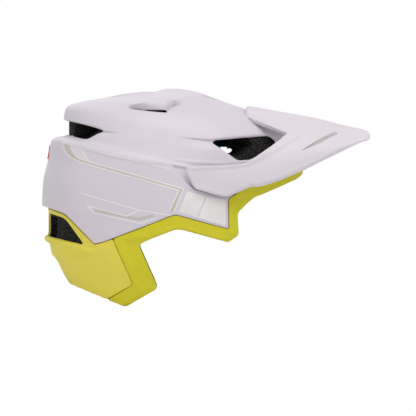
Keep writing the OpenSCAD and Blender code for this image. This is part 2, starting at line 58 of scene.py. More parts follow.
class Tone:
    # A node socket that can be used in ordinary arithmetic
    def __init__(self, nodes, socket):
        self.nodes = nodes
        self.socket = socket

    def math(self, operation, a, b, clamp=False):
        return self.nodes.node("Math", {"operation": operation, "use_clamp": clamp}, i0=a, i1=b)

    def __add__(self, other): return self.math("ADD", self, other)
    def __radd__(self, other): return self.math("ADD", other, self)
    def __sub__(self, other): return self.math("SUBTRACT", self, other)
    def __rsub__(self, other): return self.math("SUBTRACT", other, self)
    def __mul__(self, other): return self.math("MULTIPLY", self, other)
    def __rmul__(self, other): return self.math("MULTIPLY", other, self)
    def clamped(self): return self.math("ADD", self, 0.0, clamp=True)


class Nodes:
    # A node tree, and the one method that adds any node to it
    def __init__(self, owner):
        owner.use_nodes = True
        self.tree = owner.node_tree
        self.tree.nodes.clear()

    def node(self, kind, settings=None, out=0, **inputs):
        made = self.tree.nodes.new("ShaderNode" + kind)
        for key, value in (settings or {}).items():
            setattr(made, key, value)
        for key, value in inputs.items():
            slot = made.inputs[int(key[1:]) if key[1:].isdigit() else key.replace("_", " ")]
            if isinstance(value, Tone):
                self.tree.links.new(value.socket, slot)
            else:
                slot.default_value = value
        return Tone(self, made.outputs[out]) if made.outputs else None


class Finish(Nodes):
    # One material: its shader, and the nodes that feed it
    def __init__(self, name, **fixed):
        self.material = bpy.data.materials.new(name)
        super().__init__(self.material)
        self.surface = self.node("BsdfPrincipled", **fixed)
        self.shader = self.surface.socket.node
        self.output = self.tree.nodes.new("ShaderNodeOutputMaterial")
        self.shown(self.surface)

    def shown(self, value):
        self.tree.links.new(value.socket, self.output.inputs["Surface"])

    def place(self):
        return self.node("TexCoord", out=3)

    def noise(self, scale, detail=2.0):
        return self.node("TexNoise", Vector=self.place(), Scale=scale, Detail=detail)

    def cells(self, scale):
        return self.node("TexVoronoi", {"feature": "F1"}, Vector=self.place(), Scale=scale)

    def wave(self, direction, scale, distortion):
        return self.node("TexWave", {"bands_direction": direction}, out=1, Vector=self.place(),
                         Scale=scale, Distortion=distortion)

    def mix(self, amount, first, second):
        return self.node("Mix", {"data_type": "RGBA"}, out=2, i0=amount, i6=first, i7=second)

    def feed(self, key, value):
        self.tree.links.new(value.socket, self.shader.inputs[key])

    def dressed(self, colour, roughness, height, strength, depth):
        # Feeds the shader what changes over the surface, and gives the material back
        self.feed("Base Color", colour)
        if roughness is not None:
            self.feed("Roughness", roughness)
        self.feed("Normal", self.node("Bump", Height=height, Strength=strength, Distance=depth))
        return self.material


def rgb(red, green, blue):
    return (red, green, blue, 1.0)


def shade(colour, factor):
    return tuple(c * factor for c in colour[:3]) + (1.0,)


shellPaint = {
    # the visor's lilac is the shell's lilac made lighter: painted light for the brighter light that falls on
    # the visor
    "lilac": rgb(0.742, 0.683, 0.757), "visorLilacLit": rgb(0.79, 0.722, 0.785),
    "brightYellow": rgb(0.71, 0.655, 0.028), "paleYellow": rgb(0.86, 0.74, 0.095), "grain": 2600.0,
    "drift": 14.0, "satin": 0.46, "matt": 0.55, "shades": (0.975, 1.02)}


def paintFinish(name, colour, roughness, grainDepth, shine=0.4):
    finish = Finish(name, Specular_IOR_Level=shine)
    drift = finish.noise(shellPaint["drift"], 3.0)
    fine = finish.noise(shellPaint["grain"])
    tint = finish.mix(drift, *[shade(colour, factor) for factor in shellPaint["shades"]])
    rough = roughness + (drift - 0.5) * 0.1 + (fine - 0.5) * 0.06
    return finish.dressed(tint, rough, fine + drift * 0.3, 0.35, grainDepth)


lilacPaint = paintFinish("lilacPaint", shellPaint["lilac"], shellPaint["satin"], 0.00006)
# lighter lilac on the visor, painted light for the extra light it catches
visorPaint = paintFinish("visorPaint", shellPaint["visorLilacLit"], shellPaint["matt"], 0.00012)
brightPaint = paintFinish("brightYellowPaint", shellPaint["brightYellow"], shellPaint["matt"],
                          0.00008, 0.25)
palePaint = paintFinish("paleYellowPaint", shellPaint["paleYellow"], shellPaint["matt"], 0.0001, 0.3)


def foamFinish():
    finish = Finish("beadFoam", Specular_IOR_Level=0.12)
    beads = finish.cells(420.0)
    speck = finish.noise(800.0)
    pale = ((speck - 0.57) * 9.0).clamped()
    tint = finish.mix(pale, rgb(0.008, 0.0078, 0.008), rgb(0.10, 0.097, 0.097))
    return finish.dressed(tint, 0.7 + speck * 0.25, 1.0 - beads * 1.6, 0.8, 0.0005)


def mouldedFinish(name, colour, roughness, grain=1500.0, depth=0.00008):
    finish = Finish(name, Specular_IOR_Level=0.45)
    fine = finish.noise(grain, 3.0)
    tint = finish.mix(finish.noise(30.0), shade(colour, 0.85), shade(colour, 1.2))
    return finish.dressed(tint, roughness + (fine - 0.5) * 0.15, fine, 0.4, depth)


foamBlack = foamFinish()
filmTeal = mouldedFinish("tealFilm", rgb(0.004, 0.062, 0.066), 0.32, 400.0, 0.00003)
nylonBlack = mouldedFinish("nylonBlack", rgb(0.022, 0.022, 0.025), 0.5)
rubberBlack = mouldedFinish("rubberBlack", rgb(0.016, 0.016, 0.017), 0.75, 2500.0)
acetalBlack = mouldedFinish("acetalBlack", rgb(0.014, 0.014, 0.016), 0.28)
nylonGrey = mouldedFinish("nylonGrey", rgb(0.22, 0.225, 0.24), 0.45)
decalPale = mouldedFinish("decalPale", rgb(0.86, 0.84, 0.83), 0.4, 3000.0, 0.00002)
decalBeige = mouldedFinish("decalBeige", rgb(0.60, 0.545, 0.52), 0.42, 3000.0, 0.00002)
decalFaint = mouldedFinish("decalFaint", rgb(0.77, 0.72, 0.76), 0.42, 3000.0, 0.00002)
# beige-grey for the groove floors: painted shade standing in for the shade inside the visor's grooves
grooveShadePaint = mouldedFinish("grooveShadePaint", rgb(0.56, 0.50, 0.49), 0.55, 2000.0, 0.00004)


def reflectorFinish():
    finish = Finish("redReflector", Roughness=0.18, Coat_Weight=0.6)
    cells = finish.cells(700.0)
    tint = finish.mix((cells * 1.4).clamped(), rgb(0.86, 0.11, 0.09), rgb(0.5, 0.02, 0.016))
    return finish.dressed(tint, None, cells, 0.6, 0.0004)


redPrism = reflectorFinish()
print("finishes made")


shellForm = {
    "fall": 0.2, "backBend": 0.87, "frontBend": 0.95, "around": 320, "rowStep": 2.3, "thickness": 2.6,
    "edgeRoll": 1.3}
# height, back reach, front reach, half width, station of the widest point, in mm
shellRings = [
    (-126, -92, 120, 88, -12), (-114, -98, 150, 93, -12), (-92, -113, 153, 99, -12),
    (-60, -128, 153, 104.5, -12), (-28, -134, 153, 107.5, -12), (-21, -135.2, 153, 108, -12),
    (3, -134.2, 153, 108.5, -12), (30, -128.4, 153, 107.5, -12), (51, -125.2, 153, 105, -12),
    (54.5, -122, 153, 103, -12), (61.5, -108.5, 153, 100.5, -10), (75, -108.5, 153, 96, -6),
    (77.5, -111.5, 153, 95, -4), (90, -109, 150.5, 90, -2), (95, -104, 149, 87, 0),
    (100, -93.5, 147, 83.5, 4), (109, -69.5, 141, 75, 10), (116.7, -47, 131, 64, 18),
    (122.5, -29, 116, 53, 24), (127, -13.5, 97, 42, 30), (131, 2, 72, 28, 34), (133.8, 14, 56, 14, 35),
    (135.5, 28, 44, 4, 36)]
trimRings = [
    (-126, -86, 120, 84, -12), (-114, -96, 150, 88, -12), (-103.4, -105.5, 152, 93, -12),
    (-92, -113.3, 152, 97, -12), (-80, -120, 152, 100, -12), (-73, -126, 152, 102, -12),
    (-62, -127.6, 152, 104, -12), (-56, -130, 152, 104.8, -12), (-50, -128, 152, 105.4, -12),
    (-28, -128, 152, 106.6, -12), (-16, -132, 152, 107.2, -12), (3, -132, 152.2, 107.6, -12),
    (30, -127, 152.2, 106.6, -12), (51, -123.4, 152.2, 104, -12), (61.5, -107.6, 152.2, 99.6, -10),
    (77.5, -107.6, 152.2, 94, -4), (90, -106, 149.6, 89, -2), (100, -92.4, 146, 82.5, 4)]

# side-view outlines, forward and up, in mm
shellEdge = [
    (-150, 9.5), (-111.8, -3.7), (-108.2, -5.9), (-77.3, -37.4), (-62.7, -33.2), (-16.5, -15.6),
    (6.8, -6.4), (12.1, -5), (70.2, -20.7), (69.5, 12.3), (94, 28), (126, 39), (152, 55), (170, 66),
    (170, 160), (-150, 160)]
trimEdge = [
    (-56.9, -31.6), (-16.5, -16.1), (6.8, -6.9), (12.1, -5.5), (70.7, -21.3), (70, 12), (94.2, 27.5),
    (126.2, 38.5), (152.2, 54.5), (170, 65.5)]
rimEdge = [
    (170, 48), (153, 43.7), (151.3, 39.6), (145.9, 34.8), (125.6, 25.7), (98.2, 13.9), (91.1, 7.9),
    (82, -1.1), (80.3, -4.6), (80.3, -10.6), (81.2, -25.5), (79.8, -28.5), (70.2, -34.8), (67.8, -34.4),
    (19.5, -21.3), (12.1, -20.7), (-16.5, -31.7), (-29.4, -38.1), (-9.7, -83.3), (-10.2, -87.2),
    (-42.7, -105.8)]
coverEdge = [
    (-150, 9), (-111.8, -4.2), (-108.2, -6.5), (-77.3, -38), (-62.7, -33.8), (-57.4, -31.8), (-34.9, -81.8),
    (-63.6, -98.4), (-77, -94), (-105.5, -82.3), (-150, -64)]
frontVent = [
    (53.2, 74.6), (55.6, 77.4), (112.9, 82.5), (116.6, 81.5), (123.9, 75.2), (95.8, 55.7), (81.8, 54.7),
    (78.1, 56.2)]
backVent = [
    (-140, 104), (-106.4, 96.8), (-70.2, 88.7), (-68.3, 87.2), (-84.5, 78.3), (-90.3, 78.7), (-106.6, 83),
    (-140, 86)]
lowVent = [
    (-140, 1), (-125, -4.7), (-112.2, -8.9), (-108.2, -12.5), (-91.5, -35.2), (-92.5, -37.8),
    (-105.3, -35.2), (-124.5, -28.8), (-140, -25)]
topVent = [(38, 15), (44, 11), (84, 20), (86, 25), (80, 29), (46, 31), (38, 25)]
midVent = [(-64, 14), (-58, 10), (-18, 10), (-12, 15), (-16, 26), (-56, 29), (-62, 24)]


def monotone(knots, values, at):
    # Smooth curve through the rows that never overshoots them
    knots, values = np.asarray(knots, float), np.asarray(values, float)
    step = np.diff(knots)
    slope = np.diff(values) / step
    tangent = np.zeros(len(knots))
    for i in range(1, len(knots) - 1):
        if slope[i - 1] * slope[i] > 0:
            a, b = 2 * step[i] + step[i - 1], step[i] + 2 * step[i - 1]
            tangent[i] = (a + b) / (a / slope[i - 1] + b / slope[i])
    tangent[0], tangent[-1] = slope[0], slope[-1]
    i = np.clip(np.searchsorted(knots, at) - 1, 0, len(step) - 1)
    h = step[i]
    t = (at - knots[i]) / h
    return ((1 + 2 * t) * (1 - t) ** 2 * values[i] + t * (1 - t) ** 2 * h * tangent[i]
            + t * t * (3 - 2 * t) * values[i + 1] + t * t * (t - 1) * h * tangent[i + 1])


def easedRows(rows, step):
    rows = np.array(rows, float)
    rise, back, half = (np.abs(np.diff(rows[:, c])) for c in (0, 1, 3))
    travel = np.sqrt(rise ** 2 + np.maximum(back, half) ** 2)
    knots = np.concatenate([[0], np.cumsum(travel)])
    at = np.linspace(0, knots[-1], int(knots[-1] / step) + 1)
    at = np.unique(np.concatenate([at, knots]))
    keep = np.concatenate([[True], np.diff(at) > 0.35 * step])
    at = at[keep]
    return np.stack([monotone(knots, rows[:, c], at) for c in range(rows.shape[1])], axis=1)


def ringGrid(rows, around):
    angle = np.arange(around) * 2 * math.pi / around
    c, s = np.cos(angle), np.sin(angle)
    bend = np.where(c < 0, shellForm["backBend"], shellForm["frontBend"])
    px = np.sign(c) * np.abs(c) ** bend
    py = np.sign(s) * np.abs(s) ** bend
    grid = np.zeros((len(rows), around, 3))
    for i, (height, back, front, half, widest) in enumerate(rows):
        x = widest + np.where(c < 0, widest - back, front - widest) * px
        grid[i, :, 0] = x
        grid[i, :, 1] = half * py
        grid[i, :, 2] = height - shellForm["fall"] * x
    return grid


def softened(outline, radius, steps=4):
    # Closed outline with each corner turned into a short curve
    made = []
    pts = [np.array(p, float) for p in outline]
    for i, here in enumerate(pts):
        before, after = pts[i - 1], pts[(i + 1) % len(pts)]
        a, b = before - here, after - here
        la, lb = np.hypot(*a), np.hypot(*b)
        reach = min(radius, 0.4 * la, 0.4 * lb)
        turn = 1 - abs(np.dot(a, b) / (la * lb))
        if turn < 0.004 or reach < 0.3:
            made.append(tuple(here))
            continue
        p, q = here + a / la * reach, here + b / lb * reach
        for k in range(steps + 1):
            t = k / steps
            made.append(tuple((1 - t) ** 2 * p + 2 * t * (1 - t) * here + t * t * q))
    return made


def shifted(line, distance, closed=False):
    # The line moved to its left by a distance, with mitred corners
    pts = [np.array(p, float) for p in line]
    made = []
    for i, here in enumerate(pts):
        ends = []
        if closed or i > 0:
            ends.append(here - pts[i - 1])
        if closed or i < len(pts) - 1:
            ends.append(pts[(i + 1) % len(pts)] - here)
        normals = [np.array((-e[1], e[0])) / np.hypot(*e) for e in ends]
        side = sum(normals) / np.hypot(*sum(normals))
        made.append(tuple(here + side * distance / max(0.4, float(np.dot(side, normals[0])))))
    return made


def turnOf(outline):
    # One where an outline runs anticlockwise, and minus one otherwise
    pts = np.array(outline, float)
    after = np.roll(pts, -1, axis=0)
    return 1 if np.sum(pts[:, 0] * after[:, 1] - after[:, 0] * pts[:, 1]) > 0 else -1


def insetBy(outline, distance, radius):
    # A closed outline drawn in by a distance, with rounded corners
    return softened(shifted(outline, distance * turnOf(outline), closed=True), radius)


def ribbon(line, width):
    return shifted(line, width / 2) + shifted(line, -width / 2)[::-1]


def inOutline(u, v, outline):
    inside = np.zeros(len(u), bool)
    pts = np.array(outline, float)
    for (x0, y0), (x1, y1) in zip(pts, np.roll(pts, -1, axis=0)):
        if y0 == y1:
            continue
        crosses = (y0 > v) != (y1 > v)
        inside ^= crosses & (u < (x1 - x0) * (v - y0) / (y1 - y0) + x0)
    return inside


def awayFrom(u, v, line, closed=True):
    # Distance from each point to an outline
    pts = np.array(line, float)
    ends = np.roll(pts, -1, axis=0) if closed else pts[1:]
    best = np.full(len(u), 1e9)
    for (x0, y0), (x1, y1) in zip(pts, ends):
        dx, dy = x1 - x0, y1 - y0
        size = dx * dx + dy * dy or 1e-9
        t = np.clip(((u - x0) * dx + (v - y0) * dy) / size, 0, 1)
        best = np.minimum(best, np.hypot(u - x0 - t * dx, v - y0 - t * dy))
    return best


def ease(value, low, high):
    t = np.clip((value - low) / (high - low), 0, 1)
    return t * t * (3 - 2 * t)


def coordsOf(bm):
    return np.array([v.co[:] for v in bm.verts])


def coordsOfFaces(bm):
    return np.array([f.calc_center_median()[:] for f in bm.faces])


def scored(bm, outline, axes=sideAxes, zone=None, closed=True):
    # Cuts the faces that an outline crosses along it, and leaves them all in place
    i, j = axes
    pts = [np.array(p, float) for p in outline]
    centre = coordsOfFaces(bm)
    near = awayFrom(centre[:, i], centre[:, j], outline, closed) < 6
    if zone is not None:
        near &= zone(centre)
    bm.faces.ensure_lookup_table()
    local = {bm.faces[n]: (centre[n, i], centre[n, j]) for n in np.nonzero(near)[0]}
    if not local:
        return
    for k in range(len(pts) if closed else len(pts) - 1):
        p, q = pts[k], pts[(k + 1) % len(pts)]
        d = q - p
        size = float(d @ d)
        if size < 1e-6:
            continue
        faces = list(local)
        off = np.array(list(local.values())) - p
        t = np.clip(off @ d / size, 0, 1)
        picked = []
        for n in np.nonzero(np.hypot(*(off - t[:, None] * d).T) < 5)[0]:
            corners = [(vert.co[i] - p[0], vert.co[j] - p[1]) for vert in faces[n].verts]
            ahead = [(a * d[0] + b * d[1]) / size for a, b in corners]
            aside = [a * d[1] - b * d[0] for a, b in corners]
            if min(aside) < 0 < max(aside) and max(ahead) > -1e-3 and min(ahead) < 1.001:
                picked.append(faces[n])
        if not picked:
            continue
        geom = set(picked)
        for f in picked:
            geom.update(f.edges)
            geom.update(f.verts)
        normal, place = [0.0] * 3, [0.0] * 3
        normal[i], normal[j] = d[1], -d[0]
        place[i], place[j] = p[0], p[1]
        made = bmesh.ops.bisect_plane(bm, geom=list(geom), dist=1e-4, plane_co=place, plane_no=normal)
        for f in made["geom"]:
            if isinstance(f, bmesh.types.BMFace):
                middle = f.calc_center_median()
                local[f] = (middle[i], middle[j])


def edged(bm, outline, radius, aways, axes=sideAxes, zone=None):
    # An outline and the lines that its rounded edge needs beside it
    for away in (0,) + tuple(aways):
        scored(bm, insetBy(outline, away, max(radius - away, 0.6)), axes, zone)


def beside(line, *aways):
    # A line and the lines at these distances from it
    return [line] + [shifted(line, away) for away in aways]


def lined(bm, lines, zone=None):
    for line in lines:
        scored(bm, line, sideAxes, zone, closed=False)


def mirrored(outline):
    return [(x, -y) for x, y in outline]


def cutAway(bm, outlines, axes=sideAxes, zone=None, keep=False):
    # Drops the faces that lie in one of the outlines and in the zone, or keeps only those
    centre = coordsOfFaces(bm)
    within = np.zeros(len(centre), bool)
    for outline in outlines:
        within |= inOutline(centre[:, axes[0]], centre[:, axes[1]], outline)
    if zone is not None:
        within &= zone(centre)
    bm.faces.ensure_lookup_table()
    gone = [bm.faces[n] for n in np.nonzero(within != keep)[0]]
    bmesh.ops.delete(bm, geom=gone, context="FACES")


def keptWithin(bm, outlines, axes=sideAxes, zone=None):
    cutAway(bm, outlines, axes, zone, keep=True)


def cleaned(bm, gap=0.22):
    bmesh.ops.remove_doubles(bm, verts=bm.verts, dist=gap)
    bmesh.ops.dissolve_degenerate(bm, edges=bm.edges, dist=0.02)


def sheetFromGrid(grid, closed=True, capLast=False):
    rows, around = grid.shape[:2]
    bm = bmesh.new()
    verts = [bm.verts.new(p) for p in grid.reshape(-1, 3)]
    span = around if closed else around - 1
    for r in range(rows - 1):
        for c in range(span):
            d = (c + 1) % around
            bm.faces.new((verts[r * around + c], verts[r * around + d],
                          verts[(r + 1) * around + d], verts[(r + 1) * around + c]))
    if capLast:
        bm.faces.new([verts[(rows - 1) * around + c] for c in range(around)])
    bm.normal_update()
    return bm


def linked(piece):
    bpy.context.scene.collection.objects.link(piece)
    return piece


def ringSheet(rings, low=-200, high=200, capLast=False):
    # Sheet through the part of the rings that lies between two heights
    rows = easedRows(rings, shellForm["rowStep"])
    rows = rows[(rows[:, 0] > low) & (rows[:, 0] < high)]
    return sheetFromGrid(ringGrid(rows, shellForm["around"]), capLast=capLast)


def meshed(name, points, faces, finish, sharp=38):
    mesh = bpy.data.meshes.new(name)
    mesh.from_pydata((np.asarray(points) * mm).tolist(), [], faces)
    mesh.update()
    mesh.polygons.foreach_set("use_smooth", [True] * len(mesh.polygons))
    mesh.set_sharp_from_angle(angle=math.radians(sharp))
    mesh.materials.append(finish)
    return linked(bpy.data.objects.new(name, mesh))


def sharedNormals(bm):
    # Normals weighted by area and shared with the neighbours, so that slivers can't tip them
    bm.normal_update()
    bm.verts.index_update()
    own = np.zeros((len(bm.verts), 3))
    for f in bm.faces:
        own[[v.index for v in f.verts]] += np.array(f.normal) * f.calc_area()
    total = own.copy()
    ends = np.array([[v.index for v in e.verts] for e in bm.edges])
    np.add.at(total, ends[:, 0], own[ends[:, 1]] * 0.4)
    np.add.at(total, ends[:, 1], own[ends[:, 0]] * 0.4)
    return total / np.maximum(np.linalg.norm(total, axis=1), 1e-9)[:, None]


def closedSheet(bm, relief, depth, slide=None):
    # Outer face moved by the relief, inner face set in by the depth, and a rim between them
    normal = sharedNormals(bm)
    co = coordsOf(bm)
    shift, under = relief(co)
    outer = co + normal * shift[:, None]
    inner = co + normal * (under - depth)[:, None]
    if slide is not None:
        outer[:, 1] += slide(co)
        inner[:, 1] += slide(co)
    count = len(co)
    faces = [[v.index for v in f.verts] for f in bm.faces]
    back = [[i + count for i in reversed(f)] for f in faces]
    rim = []
    for edge in bm.edges:
        if len(edge.link_faces) == 1:
            loop = edge.link_loops[0]
            a, b = loop.vert.index, loop.link_loop_next.vert.index
            rim.append([b, a, a + count, b + count])
    bm.free()
    return np.vstack([outer, inner]), faces + back + rim


def thickened(bm, name, relief, depth, finish, sharp=38, slide=None):
    points, faces = closedSheet(bm, relief, depth, slide)
    return meshed(name, points, faces, finish, sharp)


def settled(piece, body, slot, *nodes):
    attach(piece, body)
    if nodes:
        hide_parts(*nodes)
    return piece


def rolled(distance, radius):
    # How far a rounded edge drops at a distance from the cut
    d = np.clip(distance, 0, radius)
    return -(radius - np.sqrt(np.maximum(radius ** 2 - (radius - d) ** 2, 0)))


crownLine = 84  # height above which the forms of the crown begin, in mm


def onTop(co):
    return co[:, 2] > crownLine


def windowed(x, low, rise, fall, high):
    # One between rise and fall, easing to nothing at low and high
    return ease(x, low, rise) * (1 - ease(x, fall, high))


def along(x, line):
    pts = sorted(line)
    return np.interp(x, [p[0] for p in pts], [p[1] for p in pts])


def inward(u, v, outline):
    # Distance to an outline, positive inside it
    d = awayFrom(u, v, outline)
    return np.where(inOutline(u, v, outline), d, -d)


shellLook = {
    "armRecess": 2.3, "edgeCorner": 2.5, "ventCorner": 4.0, "slitCorner": 1.0, "ventRoll": 2.4,
    "backRoll": 1.8, "crownRoll": 2.0, "eave": 6.5, "wall": 10, "step": 1.5, "shoulder": 3.0, "spine": 2.6,
    "crease": 2.2, "tail": 1.9, "belt": 1.0, "ridge": 0.7, "swell": 1.2, "swellCrest": 1.1, "slitRim": 0.8,
    "deepest": -2.9}
# stations between which each form rises, and then those between which it falls, forward in mm
shellSpans = {
    "step": (0, 14, 30, 70), "shoulder": (6, 34, 84, 104), "spine": (-15, 3, 6, 60),
    "crease": (12, 44, 58, 66), "tail": (-76, -69, -68, -48), "belt": (-124, -112, -10, 8),
    "ridge": (8, 20, 80, 94), "swell": (-66, -48, -24, -10), "reach": (-46, -30, 1.8, 21),
    "eave": (-46, -26, -8, 64)}
armRecess = [
    (6.8, 49.7), (24.9, 28.4), (33.6, 22.3), (62, 12), (96, 20), (112, 40), (112, 60), (96, 52.5),
    (86, 48.6), (67, 47.4), (26, 46.4)]
scoopTop = [(-46, 113.9), (-20, 118.3), (2.2, 120.6), (29.3, 119.4), (51.7, 114.9), (73.7, 107)]
scoopLow = [
    (-46, 112.6), (-36, 111), (-24, 109.2), (-12, 107.8), (1.8, 106.7), (4.5, 110.5), (10, 115),
    (16.5, 116.6), (29.3, 111), (51.7, 105), (73.7, 100)]
ventCrease = [(12, 79.2), (30, 78.3), (54, 76.6)]
ventTail = [(-72, 87.5), (-50, 84.2)]
ventRidge = [(6, 57.5), (12.1, 55), (30, 52.4), (60.5, 50.6), (91.9, 53.9)]
slitCut = [(-24, 109.3), (-20.5, 110.5), (1.6, 110.1), (1.8, 106.8), (-12, 107.9)]
beltCrease = [(-124.3, 78.1), (-112.2, 74.8), (-60.5, 60.5), (-16.5, 51.7), (8, 49.6)]
softShell = softened(shellEdge, shellLook["edgeCorner"])
softFront, softBack, softTop, softMid = (softened(vent, shellLook["ventCorner"])
                                         for vent in (frontVent, backVent, topVent, midVent))
softSlit = softened(slitCut, shellLook["slitCorner"])
crownVents = [topVent, mirrored(topVent), midVent, mirrored(midVent)]


def spanned(name, x):
    return windowed(x, *shellSpans[name])


def creased(z, line, fade):
    # One along a crease, fading below it and ending just above it
    return np.where(z < line, 1 - ease(line - z, 0, fade), 1 - ease(z - line, 0, 0.6))


def shellRelief(co):
    x, z = co[:, 0], co[:, 2]
    side, crown = np.abs(co[:, 1]), onTop(co)
    edge = rolled(awayFrom(x, z, softShell), shellForm["edgeRoll"])
    for outline, radius in ((softFront, shellLook["ventRoll"]), (softBack, shellLook["backRoll"])):
        edge = np.minimum(edge, rolled(awayFrom(x, z, outline), radius))
    for outline in (softTop, softMid):
        drop = rolled(awayFrom(x, side, outline), shellLook["crownRoll"])
        edge = np.minimum(edge, np.where(crown, drop, 0))
    under = -shellLook["armRecess"] * ease(inward(x, z, armRecess), -0.3, 1.3)
    top = along(x, scoopTop)
    step = shellLook["step"] * spanned("step", x) * (side > 20)
    under = under - step * ease(top - z, 0, 2.5) * (1 - ease(top - z, 3, 14))
    shoulder = shellLook["shoulder"] * spanned("shoulder", x) * ease(z, top - 1, top + 5)
    under = under + shoulder * ease(side, 11, 27) * crown
    under = under + shellLook["spine"] * spanned("spine", x) * (1 - ease(side, 9, 20)) * crown
    for name, line, fade, out in (("crease", ventCrease, 12, 40), ("tail", ventTail, 7, 30)):
        under = under - shellLook[name] * creased(z, along(x, line), fade) * spanned(name, x) * (side > out)
    crest = z - along(x, beltCrease)
    crest = np.where(crest > 0, np.exp(-(crest / 5) ** 2), np.exp(-(crest / 1.6) ** 2))
    under = under + shellLook["belt"] * crest * spanned("belt", x)
    ridge = np.abs(z - along(x, ventRidge)) / 1.6
    under = under + shellLook["ridge"] * np.exp(-ridge ** 2) * spanned("ridge", x) * (side > 60)
    crest = shellLook["swellCrest"] * np.exp(-((side - 26) / 4.5) ** 2)
    swell = spanned("swell", x) * crown * (shellLook["swell"] * (1 - ease(side, 26, 40)) + crest)
    under = np.maximum(under + swell, shellLook["deepest"])
    thin = shellForm["thickness"] - shellLook["slitRim"]
    thin = thin * (1 - ease(awayFrom(x, z, softSlit), 0, 6)) * crown
    return under + edge, under + thin


def scoopSlide(co):
    # The crown stands out over the slit like an eave, and the wall below it runs in behind the slit
    x, y, z = co[:, 0], co[:, 1], co[:, 2]
    top, low = along(x, scoopTop), along(x, scoopLow)
    reach = spanned("reach", x)
    eave = shellLook["eave"] * spanned("eave", x)
    t = np.clip((top - z) / np.maximum(top - low, 0.5), 0, 1)
    above = eave * (1 - ease(z - top, 0, 11))
    wall = eave * (1 - t) - shellLook["wall"] * t * reach - eave * 0.35 * t * reach
    blend = 0.8 + 4 * ease(x, 1, 8)
    out = np.where(z > top, above, wall * (1 - ease(low - z, 0, blend)))
    return out * np.sign(y) * (np.abs(y) > 20) * onTop(co)


def buildShell():
    bm = ringSheet(shellRings, low=-72, capLast=True)
    corner = shellLook["ventCorner"]
    edged(bm, shellEdge, shellLook["edgeCorner"], (0.4, 1.3))
    edged(bm, frontVent, corner, (-0.7, -2.4))
    edged(bm, backVent, corner, (-0.5, -1.8))
    edged(bm, armRecess, 1.5, (-0.3, 1.3))
    scored(bm, softSlit)
    lined(bm, beside(scoopTop, 1.2) + beside(scoopLow, -0.8), onTop)
    lined(bm, beside(ventCrease, 0.6) + beside(ventTail, 0.6) + [ventRidge])
    lined(bm, beside(beltCrease, 1.6, -1.2))
    for outline in crownVents:
        edged(bm, outline, corner, (-0.6, -2.0), planAxes, onTop)
    keptWithin(bm, [softShell])
    for outline in (softFront, softBack, softSlit):
        cutAway(bm, [outline])
    for outline in crownVents:
        cutAway(bm, [softened(outline, corner)], planAxes, onTop)
    cleaned(bm)
    shell = thickened(bm, "shellSkin", shellRelief, shellForm["thickness"], lilacPaint, slide=scoopSlide)
    return settled(shell, "helmet", "lilac_shell", "outer_shell")


shellSkin = buildShell()
print("shell built", len(shellSkin.data.polygons))


decalLook = {"line": 1.1, "beigeStripe": 2.8, "proud": 0.22, "thickness": 0.3, "gap": 1.6}
upperOuter = [
    (-112.1, 73.6), (-110.6, 67.5), (-107.6, 61.8), (-102.6, 57), (-96, 54), (-86.9, 50.8), (15.3, 21.6),
    (5.1, -0.4)]
upperInner = [
    (-103.4, 71.5), (-101.4, 65), (-97.6, 59.4), (-91, 55.6), (-82, 52.6), (20.8, 23.1), (9.8, -2.1)]
paleFill = [
    (-103.4, 71.5), (-101.4, 65), (-97.6, 59.4), (-91, 55.6), (-82, 52.6), (-85.8, 57), (-89, 62.6),
    (-91, 68)]
paleLines = [
    upperOuter, upperInner, [(-112.1, 73.6), (-103.4, 71.5), (-91, 67.7), (5.1, 45.1)], paleFill[4:],
    [(-92.3, 18.3), (-27.7, -0.2), (6, -6)], [(-84.9, 4.7), (-77.7, -3.1), (-26.3, -14.5), (-10, -9)],
    [(-84.9, 4.7), (-42.1, -6.7), (-27.7, -0.2)]]
beigeLine = [(-76.7, -0.6), (-28.6, -10.2), (-12, -5.6)]
palePanel = [(15.4, -2.1), (24.75, 20.3), (66.4, 9.6), (66.4, -17.2)]
panelGap = [(36, -7.6), (45.4, 14.9)]


def decalRelief(co):
    shift = shellRelief(co)[0] + decalLook["proud"]
    return shift, shift


def buildDecal(name, outlines, finish, *gaps):
    bm = ringSheet(shellRings, -40, 75)
    keptWithin(bm, [[(-120, -30), (-120, 90), (85, 90), (85, -30)]])
    for outline in outlines + list(gaps):
        scored(bm, outline)
    keptWithin(bm, outlines)
    for gap in gaps:
        cutAway(bm, [gap])
    cleaned(bm, 0.05)
    decal = thickened(bm, name, decalRelief, decalLook["thickness"], finish)
    return settled(decal, "helmet", "lilac_shell")


def buildDecals():
    lines = [ribbon(line, decalLook["line"]) for line in paleLines]
    beige = upperOuter + upperInner[::-1]
    stripe = ribbon(beigeLine, decalLook["beigeStripe"])
    buildDecal("decalLines", lines, decalPale)
    buildDecal("decalBand", [beige, stripe], decalBeige, *lines)
    buildDecal("decalFill", [paleFill], decalFaint, *lines)
    buildDecal("decalPanel", [softened(palePanel, 1.0)], decalPale, ribbon(panelGap, decalLook["gap"]))


buildDecals()
print("decals laid")


trimLook = {
    "thickness": 2.4, "corner": 3.0, "widen": 0.5, "seamRoll": 0.7, "rimRoll": 1.2, "rise": 0.9,
    "facet": 0.3, "deepest": -1.7}
frontBevel = [(70.4, 14.3), (71.5, -20.9), (72.6, -25.3), (68, -31)]
trimOutline = trimEdge + shifted(rimEdge, trimLook["widen"]) + [(-63.1, -99), (-34.3, -81.8)]
facetLine = [(-50.6, -35.2), (-27.5, -90.2), (-46.5, -104)]
coverRidge = [(-134, -30), (-124, -33.4), (-104.5, -39.8), (-90, -43.2), (-75.4, -46)]
coverFold = [(-128, -37.4), (-103.4, -46.2), (-92.4, -62.7)]
coverCrease = [(-77, -38), (-51.7, -65.6)]
coverLook = {
    "thickness": 2.4, "corner": 2.0, "ventCorner": 5.0, "seamRoll": 0.8, "ventRoll": 2.2, "lip": 2.7,
    "lipHalf": 3.3, "scoop": 1.4, "fold": 0.11, "crease": 0.13, "post": 5, "deepest": -1.4}
softTrim = softened(trimOutline, trimLook["corner"])
softCover = softened(coverEdge, coverLook["corner"])
softLow = softened(lowVent, coverLook["ventCorner"])


